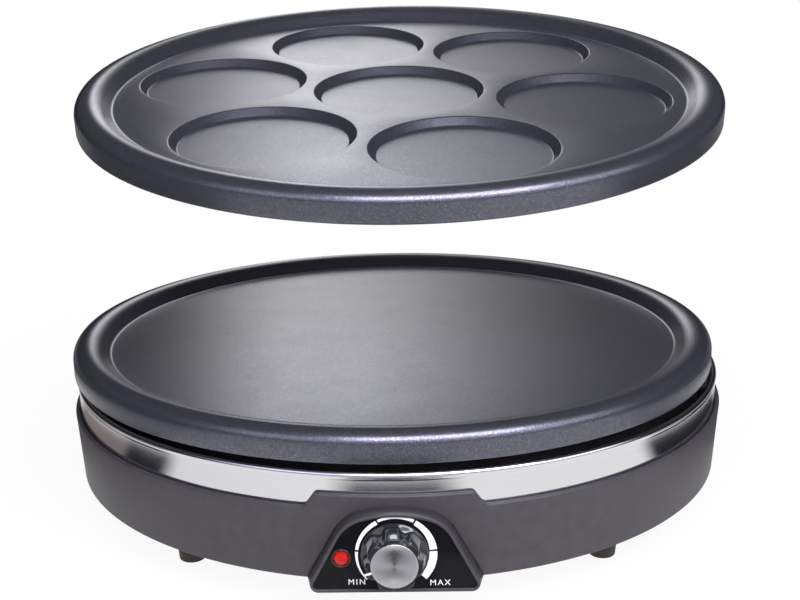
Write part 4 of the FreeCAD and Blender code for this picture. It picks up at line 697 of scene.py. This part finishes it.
satin_black = moulded("knob_satin", (0.014, 0.014, 0.016), 0.20, 2600.0, 0.00001, 0.15, coat=0.5)
knob = from_grid("knob_fluted", facing(knob_points()), satin_black, False)
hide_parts("knob")
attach(knob, "knob")


def spun(name):
    """Bright metal with the turning tool's rings: noise drawn out along the rings, read from the UV map,
    whose first part runs round the disc, and a polish that differs along the rings and across them."""
    material, shader, node, link = new_material(name)
    stretched = node("Mapping", Vector=node("UVMap").outputs["UV"])
    stretched.inputs["Scale"].default_value = (3.0, 60.0, 1.0)
    lines = node("TexNoise", Vector=stretched.outputs[0], Scale=1.0, Detail=3.0)
    link(tones(node, lines, (0.74, 0.74, 0.75), (0.90, 0.90, 0.90)), shader.inputs["Base Color"])
    shader.inputs["Metallic"].default_value = 1.0
    shader.inputs["Roughness"].default_value = 0.26
    shader.inputs["Anisotropic"].default_value = 0.85
    link(node("Tangent", {"direction_type": "UV_MAP"}).outputs[0], shader.inputs["Tangent"])
    bump = node("Bump", Strength=0.05, Distance=0.00002, Height=lines.outputs["Fac"])
    link(bump.outputs["Normal"], shader.inputs["Normal"])
    return material


CAP_HIGH, CAP_EDGE, CAP_STEPS = 0.0010, 0.0002, 96
cap_section = np.concatenate([[[0.0, 0.0], [CAP_RADIUS, 0.0], [CAP_RADIUS, CAP_HIGH - CAP_EDGE]],
                              arc((CAP_RADIUS - CAP_EDGE, CAP_HIGH - CAP_EDGE), CAP_EDGE, 0, 90, 5)[1:],
                              [[CAP_RADIUS * 0.5, CAP_HIGH], [0.0, CAP_HIGH]]])
points, faces, flat = along_ring(cap_section, CAP_STEPS)
cap = new_mesh("cap_disc", facing(points, ahead=KNOB_DEPTH - CAP_SEAT), faces, spun("spun_aluminium"))
map_flat(cap, flat)
weld(cap)
cap.data.set_sharp_from_angle(angle=math.radians(50))
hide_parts("knob_cap")
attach(cap, "knob")

dress(white_ink, "knob_pointer")


# Crepe plate

# A cast aluminium plate with a wide rolled rim, coated with dark non-stick. The coating holds fine flecks
# that show on the rim. A ring under the plate stands on the pan's ledge.

COOK_RADIUS, COVE, SLOPE, RUN = 0.150, 0.0026, math.radians(40.0), 0.0035
RIM_RADIUS, ROLL, RIM_DROP, RIM_WALL = 0.168, 0.0065, 0.0078, 0.0036
THICKNESS, STAND_OUTER, STAND_INNER, STAND_FOOT = 0.0040, 0.1555, 0.1520, 0.0086
EDGE = 0.0008


def plate_section():
    """Half section of a plate with height 0 at its cooking face: flat, a small hollow, a straight slope, a
    crown from the slope to a level crest, the outer roll, the wall, and the underside with its ring."""
    flat_edge, cove_top = COOK_RADIUS - COVE * math.sin(SLOPE), COVE * (1 - math.cos(SLOPE))
    slope_top = (COOK_RADIUS + RUN, cove_top + RUN * math.tan(SLOPE))
    crest_radius = RIM_RADIUS - ROLL
    crown = (crest_radius - slope_top[0]) / math.sin(SLOPE)
    crest = slope_top[1] + crown * (1 - math.cos(SLOPE))
    slope = math.degrees(SLOPE)
    return np.concatenate([
        [[flat_edge - 0.004, 0.0]],
        arc((flat_edge, COVE), COVE, -90, slope - 90, 9),
        arc((crest_radius, crest - crown), crown, 90 + slope, 90, 18),
        arc((crest_radius, crest - ROLL), ROLL, 90, 0, 20)[1:],
        arc((RIM_RADIUS - EDGE, -RIM_DROP + EDGE), EDGE, 0, -90, 7),
        arc((RIM_RADIUS - RIM_WALL + EDGE, -RIM_DROP + EDGE), EDGE, -90, -180, 7),
        [[RIM_RADIUS - RIM_WALL, crest - RIM_WALL - 0.002]],
        [[RIM_RADIUS - RIM_WALL - 0.002, crest - RIM_WALL], [STAND_OUTER + 0.001, crest - RIM_WALL]],
        [[STAND_OUTER, crest - RIM_WALL - 0.001], [STAND_OUTER, -STAND_FOOT], [STAND_INNER, -STAND_FOOT],
         [STAND_INNER, -THICKNESS]],
    ])


def non_stick():
    """Dark satin coating: a near-black blue-grey with metal flakes in cells about a third of a millimetre
    across, four in ten of them paler, a fine orange-peel surface, and a roughness that wanders."""
    material, shader, node, link = new_material("non_stick_coating")
    place = node("TexCoord").outputs["Object"]
    cells = node("TexVoronoi", Vector=place, Scale=3200.0)
    split = node("SeparateColor", Color=cells.outputs["Color"])
    paler = map_range(node, split.outputs[0], 0.6, 1.0)
    shade = blend(node, paler, (0.105, 0.105, 0.125, 1.0), (0.200, 0.200, 0.245, 1.0))
    link(shade, shader.inputs["Base Color"])
    shader.inputs["Metallic"].default_value = 0.78
    cloud = node("TexNoise", Vector=place, Scale=40.0, Detail=2.0)
    link(map_range(node, cloud.outputs["Fac"], 0.0, 1.0, 0.23, 0.29), shader.inputs["Roughness"])
    peel = node("TexNoise", Vector=place, Scale=1800.0, Detail=2.0)
    bump = node("Bump", Strength=1.0, Distance=0.000005, Height=peel.outputs["Fac"])
    link(bump.outputs["Normal"], shader.inputs["Normal"])
    return material


CREPE_PLACE, PLATE_STEPS = (-0.0022, 0.0, 0.0750), 400
coating = non_stick()
section = plate_section()
plate_profile = np.concatenate([[[0.0, 0.0], [0.05, 0.0], [0.10, 0.0]], section,
                                [[0.08, -THICKNESS], [0.0, -THICKNESS]]])
plate_points = ring_points(plate_profile, PLATE_STEPS) + CREPE_PLACE
crepe = from_grid("crepe_plate_coated", plate_points, coating, False)
crepe.data.set_sharp_from_angle(angle=math.radians(60))
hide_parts("crepe_plate")
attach(crepe, "crepe_plate")


# Pancake plate

# The second plate has the same rim, and seven shallow round wells pressed into its face, one in the middle
# and six round it. Their walls lean outwards and meet face and floor in small rounds.

WELL_RADIUS, WELL_SIDE, WELL_DEPTH, WELL_CIRCLE, WELL_START = 0.0448, 0.0034, 0.0040, 0.0974, -71.7
WELL_ROUND, WELL_UNDER, WELL_STEPS = 0.0012, 0.0034, 144
PANCAKE_PLACE, PANCAKE_TILT = (0.0030, 0.0183, 0.2035), 11.0


def well_section(extra, height):
    """Half section of a well from its edge to its middle: a round over the edge, the leaning wall, a round
    into the floor, and the floor. Both rounds touch the lines that they join."""
    lean = math.atan2(WELL_DEPTH, WELL_SIDE)
    back = WELL_ROUND * math.tan(lean / 2)
    rim, floor = WELL_RADIUS + extra, WELL_RADIUS - WELL_SIDE + extra
    turn = math.degrees(lean)
    return np.concatenate([
        arc((rim + back, -WELL_ROUND), WELL_ROUND, 90, 90 + turn, 7),
        arc((floor - back, -WELL_DEPTH + WELL_ROUND), WELL_ROUND, turn - 90, -90, 7),
        [[0.0, -WELL_DEPTH]],
    ]) + [0.0, height]


def face_with_holes(radius, centres, hole, height):
    """Flat face between the rim and the wells: triangles between the points of the outer circle and of each
    well's edge, with those inside a well left out."""
    def circle(about, size, count):
        angle = np.linspace(0, 2 * np.pi, count, endpoint=False)
        return about + size * np.column_stack([np.sin(angle), -np.cos(angle)])

    loops = [circle([0.0, 0.0], radius, PLATE_STEPS)]
    loops += [circle(centre, hole, WELL_STEPS) for centre in centres]
    points = np.concatenate(loops)
    edges, start = [], 0
    for loop in loops:
        numbers = np.arange(len(loop))
        edges += np.column_stack([start + numbers, start + (numbers + 1) % len(loop)]).tolist()
        start += len(loop)
    spots, _, triangles, *_ = delaunay_2d_cdt([Vector(point) for point in points], edges, [], 0, 1e-7)
    spots = np.array([tuple(spot) for spot in spots])
    triangles = np.array([list(triangle) for triangle in triangles])
    middle = spots[triangles].mean(1)
    apart = np.linalg.norm(middle[:, None] - np.array(centres)[None], axis=2).min(1)
    kept = triangles[(apart > hole) & (np.linalg.norm(middle, axis=1) < radius)]
    return np.column_stack([spots, np.full(len(spots), height)]), kept


well_angle = np.radians(WELL_START + 60 * np.arange(6))
centres = WELL_CIRCLE * np.column_stack([np.cos(well_angle), np.sin(well_angle)])
centres = np.concatenate([[[0.0, 0.0]], centres])
rim_points = ring_points(section, PLATE_STEPS).reshape(-1, 3)
pieces = [(rim_points, grid_faces(PLATE_STEPS, len(section), True, False))]
for extra, height, edge in ((0.0, 0.0, section[0, 0]), (WELL_UNDER, -THICKNESS, STAND_INNER)):
    bowl = well_section(extra, height)
    pieces.append(face_with_holes(edge, centres, bowl[0, 0], height))
    bowl_faces = grid_faces(WELL_STEPS, len(bowl), True, False)
    pieces += [((ring_points(bowl, WELL_STEPS) + [*centre, 0.0]).reshape(-1, 3), bowl_faces)
               for centre in centres]
points, faces, start = [], [], 0
for some_points, some_faces in pieces:
    points.append(some_points)
    faces += (some_faces + start).tolist()
    start += len(some_points)
pancake = weld(new_mesh("pancake_plate_coated", np.concatenate(points), faces, coating), 2e-6)
tilt = Matrix.Rotation(math.radians(PANCAKE_TILT), 4, "X")
pancake.data.transform(Matrix.Translation(PANCAKE_PLACE) @ tilt)
pancake.data.set_sharp_from_angle(angle=math.radians(60))
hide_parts("pancake_plate")
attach(pancake, "pancake_plate")


# Studio

# A white floor that keeps the object's shadow, a white surround, and soft lamps above, ahead and at both
# sides. Shiny pieces mirror something else: a bright floor with a bowed ring of dark and pale cards laid on
# it, a floor of changing tone beyond the ring, pale walls in front and a lit strip of wall behind.

def studio_light(name, place, target, size, power, colour=(1.0, 1.0, 1.0), mirrored=False):
    """A soft rectangular lamp that looks at a point. Shiny pieces mirror it only where it says so."""
    light = bpy.data.lights.new(name, "AREA")
    light.shape, light.size, light.size_y, light.energy, light.color = "RECTANGLE", *size, power, colour
    holder = bpy.data.objects.new(name, light)
    holder.location = place
    holder.rotation_euler = (Vector(target) - Vector(place)).to_track_quat("-Z", "Y").to_euler()
    holder.visible_glossy = mirrored
    bpy.context.scene.collection.objects.link(holder)


def ramp_over_angle(node, angle, stops):
    """Greys or colours over an angle in radians, given as stops (degrees, grey or colour) and mixed evenly
    between them: the ramp runs from -180 to 180 degrees."""
    ramp = node("ValToRGB", Fac=map_range(node, angle, -math.pi, math.pi))
    points = ramp.color_ramp.elements
    while len(points) < len(stops):
        points.new(0.5)
    for point, (degrees, colour) in zip(points, stops):
        point.position = degrees / 360 + 0.5
        point.color = np.broadcast_to(colour, 3).tolist() + [1.0]
    return ramp.outputs["Color"]


def calculate(node, operation, *values):
    """One step of arithmetic on sockets or numbers, under Blender's name for it."""
    inputs = {f"_{place}": value for place, value in enumerate(values)}
    return node("Math", {"operation": operation}, **inputs).outputs[0]


def rays(node):
    """Two shares, each 0 or 1: whether a ray comes from the camera, straight or through the lens, and
    whether it comes off a shiny piece."""
    path = node("LightPath").outputs
    direct = calculate(node, "MAXIMUM", path["Is Camera Ray"], path["Is Transmission Ray"])
    return direct, path["Is Glossy Ray"]


def either(node, share, first, second):
    """The first shader, and by the share the second."""
    return node("MixShader", Fac=share, _1=first, _2=second).outputs[0]


# Distances from the middle of the floor, each a start and an end of a change. BOW brings the cards nearer by
# so much for each radian squared of azimuth. The floor that the camera sees is FADE_SHARE white up close.
CARDS_FROM, CARDS_TO, OUTER_FROM, BOW = (0.236, 0.246), (0.308, 0.312), (0.335, 0.375), 0.014
FADE, FADE_SHARE = (0.2, 0.5), 0.93

floor = new_mesh("floor", [[-6, -6, 0], [6, -6, 0], [6, 6, 0], [-6, 6, 0]], [[0, 1, 2, 3]], charcoal, False)
white_floor, floor_shader, node, link = new_material("white_floor")
floor_shader.inputs["Base Color"].default_value = (0.85, 0.85, 0.85, 1.0)
floor_shader.inputs["Roughness"].default_value = 0.9
place = node("TexCoord").outputs["Object"]
part = node("SeparateXYZ", Vector=place).outputs
azimuth = calculate(node, "ARCTAN2", part["X"], calculate(node, "MULTIPLY", part["Y"], -1.0))
reach = node("VectorMath", {"operation": "LENGTH"}, _0=place).outputs["Value"]
bowed = calculate(node, "MULTIPLY_ADD", calculate(node, "MULTIPLY", azimuth, azimuth), BOW, reach)
near = ramp_over_angle(node, azimuth, [
    (-180, 0.95), (-6, 0.95), (-3, (0.55, 0.55, 0.57)), (3, (0.55, 0.55, 0.57)), (6, 0.95), (180, 0.95),
])
cards = ramp_over_angle(node, azimuth, [
    (-180, 0.75), (-112, (0.60, 0.58, 0.58)), (-106, (0.22, 0.19, 0.19)), (-76, (0.20, 0.17, 0.175)),
    (-73, (0.018, 0.018, 0.022)), (-60, (0.020, 0.020, 0.025)), (-55, (0.85, 0.85, 0.87)), (-16, 0.95),
    (-9, (0.03, 0.03, 0.045)), (9, (0.03, 0.03, 0.045)), (16, 0.95), (64, 0.92), (69, (0.015, 0.015, 0.02)),
    (108, (0.02, 0.02, 0.024)), (116, 0.6), (180, 0.75),
])
outer = ramp_over_angle(node, azimuth, [
    (-180, 0.5), (-120, (0.08, 0.08, 0.09)), (-62, (0.06, 0.06, 0.07)), (-45, (0.60, 0.60, 0.62)),
    (0, (0.60, 0.60, 0.63)), (30, (0.85, 0.85, 0.88)), (62, (0.85, 0.85, 0.88)), (76, (0.06, 0.06, 0.07)),
    (120, (0.08, 0.08, 0.09)), (180, 0.5),
])
inner_floor = blend(node, map_range(node, bowed, *CARDS_FROM), near, cards)
outer_floor = blend(node, map_range(node, bowed, *OUTER_FROM), (0.95, 0.95, 0.95, 1.0), outer)
laid = blend(node, map_range(node, bowed, *CARDS_TO), inner_floor, outer_floor)
mirrored = node("Emission", Color=laid, Strength=1.0).outputs[0]
white = node("Emission", Color=(1.0, 1.0, 1.0, 1.0), Strength=1.0).outputs[0]
direct, glossy = rays(node)
seen = calculate(node, "MULTIPLY", direct, map_range(node, reach, *FADE, FADE_SHARE, 1.0))
whole = either(node, glossy, either(node, seen, floor_shader.outputs[0], white), mirrored)
link(whole, white_floor.node_tree.nodes["Material Output"].inputs["Surface"])
floor.data.materials[0] = white_floor

world = bpy.data.worlds.new("studio")
bpy.context.scene.world = world
world.use_nodes = True
tree = world.node_tree
node = node_maker(tree)
way = node("SeparateXYZ", Vector=node("TexCoord").outputs["Generated"]).outputs
strip = ramp_over_angle(node, calculate(node, "ARCTAN2", way["X"], way["Y"]), [
    (-180, (0.48, 0.49, 0.58)), (-132, (0.42, 0.43, 0.52)), (-112, (0.05, 0.05, 0.06)),
    (-100, (0.012, 0.012, 0.014)), (-11.5, (0.010, 0.010, 0.012)), (-9.3, 0.24), (-6.5, 1.0), (-2, 0.82),
    (3, (0.30, 0.30, 0.305)), (8, (0.06, 0.06, 0.062)), (15, (0.015, 0.015, 0.017)),
    (90, (0.012, 0.012, 0.014)), (106, (0.65, 0.66, 0.72)), (126, (0.75, 0.76, 0.84)),
    (152, (0.50, 0.51, 0.60)), (180, (0.48, 0.49, 0.58)),
])
above = ramp_over_angle(node, calculate(node, "ARCSINE", way["Z"]), [
    (-90, 0.02), (4, 0.02), (12, 0.26), (17, 0.80), (21, 1.0), (34, 1.0), (44, (0.10, 0.10, 0.12)),
    (90, (0.08, 0.08, 0.10)),
])
mirrored = node("Background", Color=blend(node, 1.0, strip, above, "MULTIPLY"), Strength=3.2).outputs[0]
lit = node("Background", Color=(0.90, 0.92, 1.0, 1.0), Strength=0.37).outputs[0]
white = node("Background", Color=(1.0, 1.0, 1.0, 1.0), Strength=1.0).outputs[0]
direct, glossy = rays(node)
whole = either(node, direct, either(node, glossy, lit, mirrored), white)
tree.links.new(whole, tree.nodes["World Output"].inputs["Surface"])

studio_light("softbox_top", (0.0, 0.1, 1.6), (0.0, 0.0, 0.1), (1.6, 1.2), 6.0)
studio_light("softbox_ahead", (0.28, -0.95, 0.90), (0.0, -0.1, 0.07), (1.2, 0.45), 18.0, (0.87, 0.89, 1.0),
             mirrored=True)
studio_light("softbox_left", (-0.9, -1.2, 0.8), (0.0, 0.0, 0.1), (0.8, 0.8), 4.0)
studio_light("softbox_right", (0.9, -1.2, 0.8), (0.0, 0.0, 0.1), (0.8, 0.8), 6.0)


# Camera

# The camera stands in front of the panel and a little above the plates, and looks slightly down. Its place
# and lens were worked out from the object's outlines, for an image 800 pixels wide.

SENSOR, FOCAL_PIXELS, IMAGE_WIDTH, EYE = 36.0, 1266.0, 800.0, (0.008490, -0.657435, 0.270204)
camera_data = bpy.data.cameras.new("camera")
camera_data.sensor_width, camera_data.lens = SENSOR, FOCAL_PIXELS / IMAGE_WIDTH * SENSOR
camera_data.clip_start = 0.01
camera = bpy.data.objects.new("camera", camera_data)
right, down = Vector((0.999878, 0.005915, -0.014491)), Vector((-0.012449, -0.260610, -0.965364))
axes = Matrix((right, -down, right.cross(-down))).transposed().to_4x4()
camera.matrix_world = Matrix.Translation(EYE) @ axes
bpy.context.scene.collection.objects.link(camera)
bpy.context.scene.camera = camera
bpy.context.scene.view_settings.view_transform = "Standard"
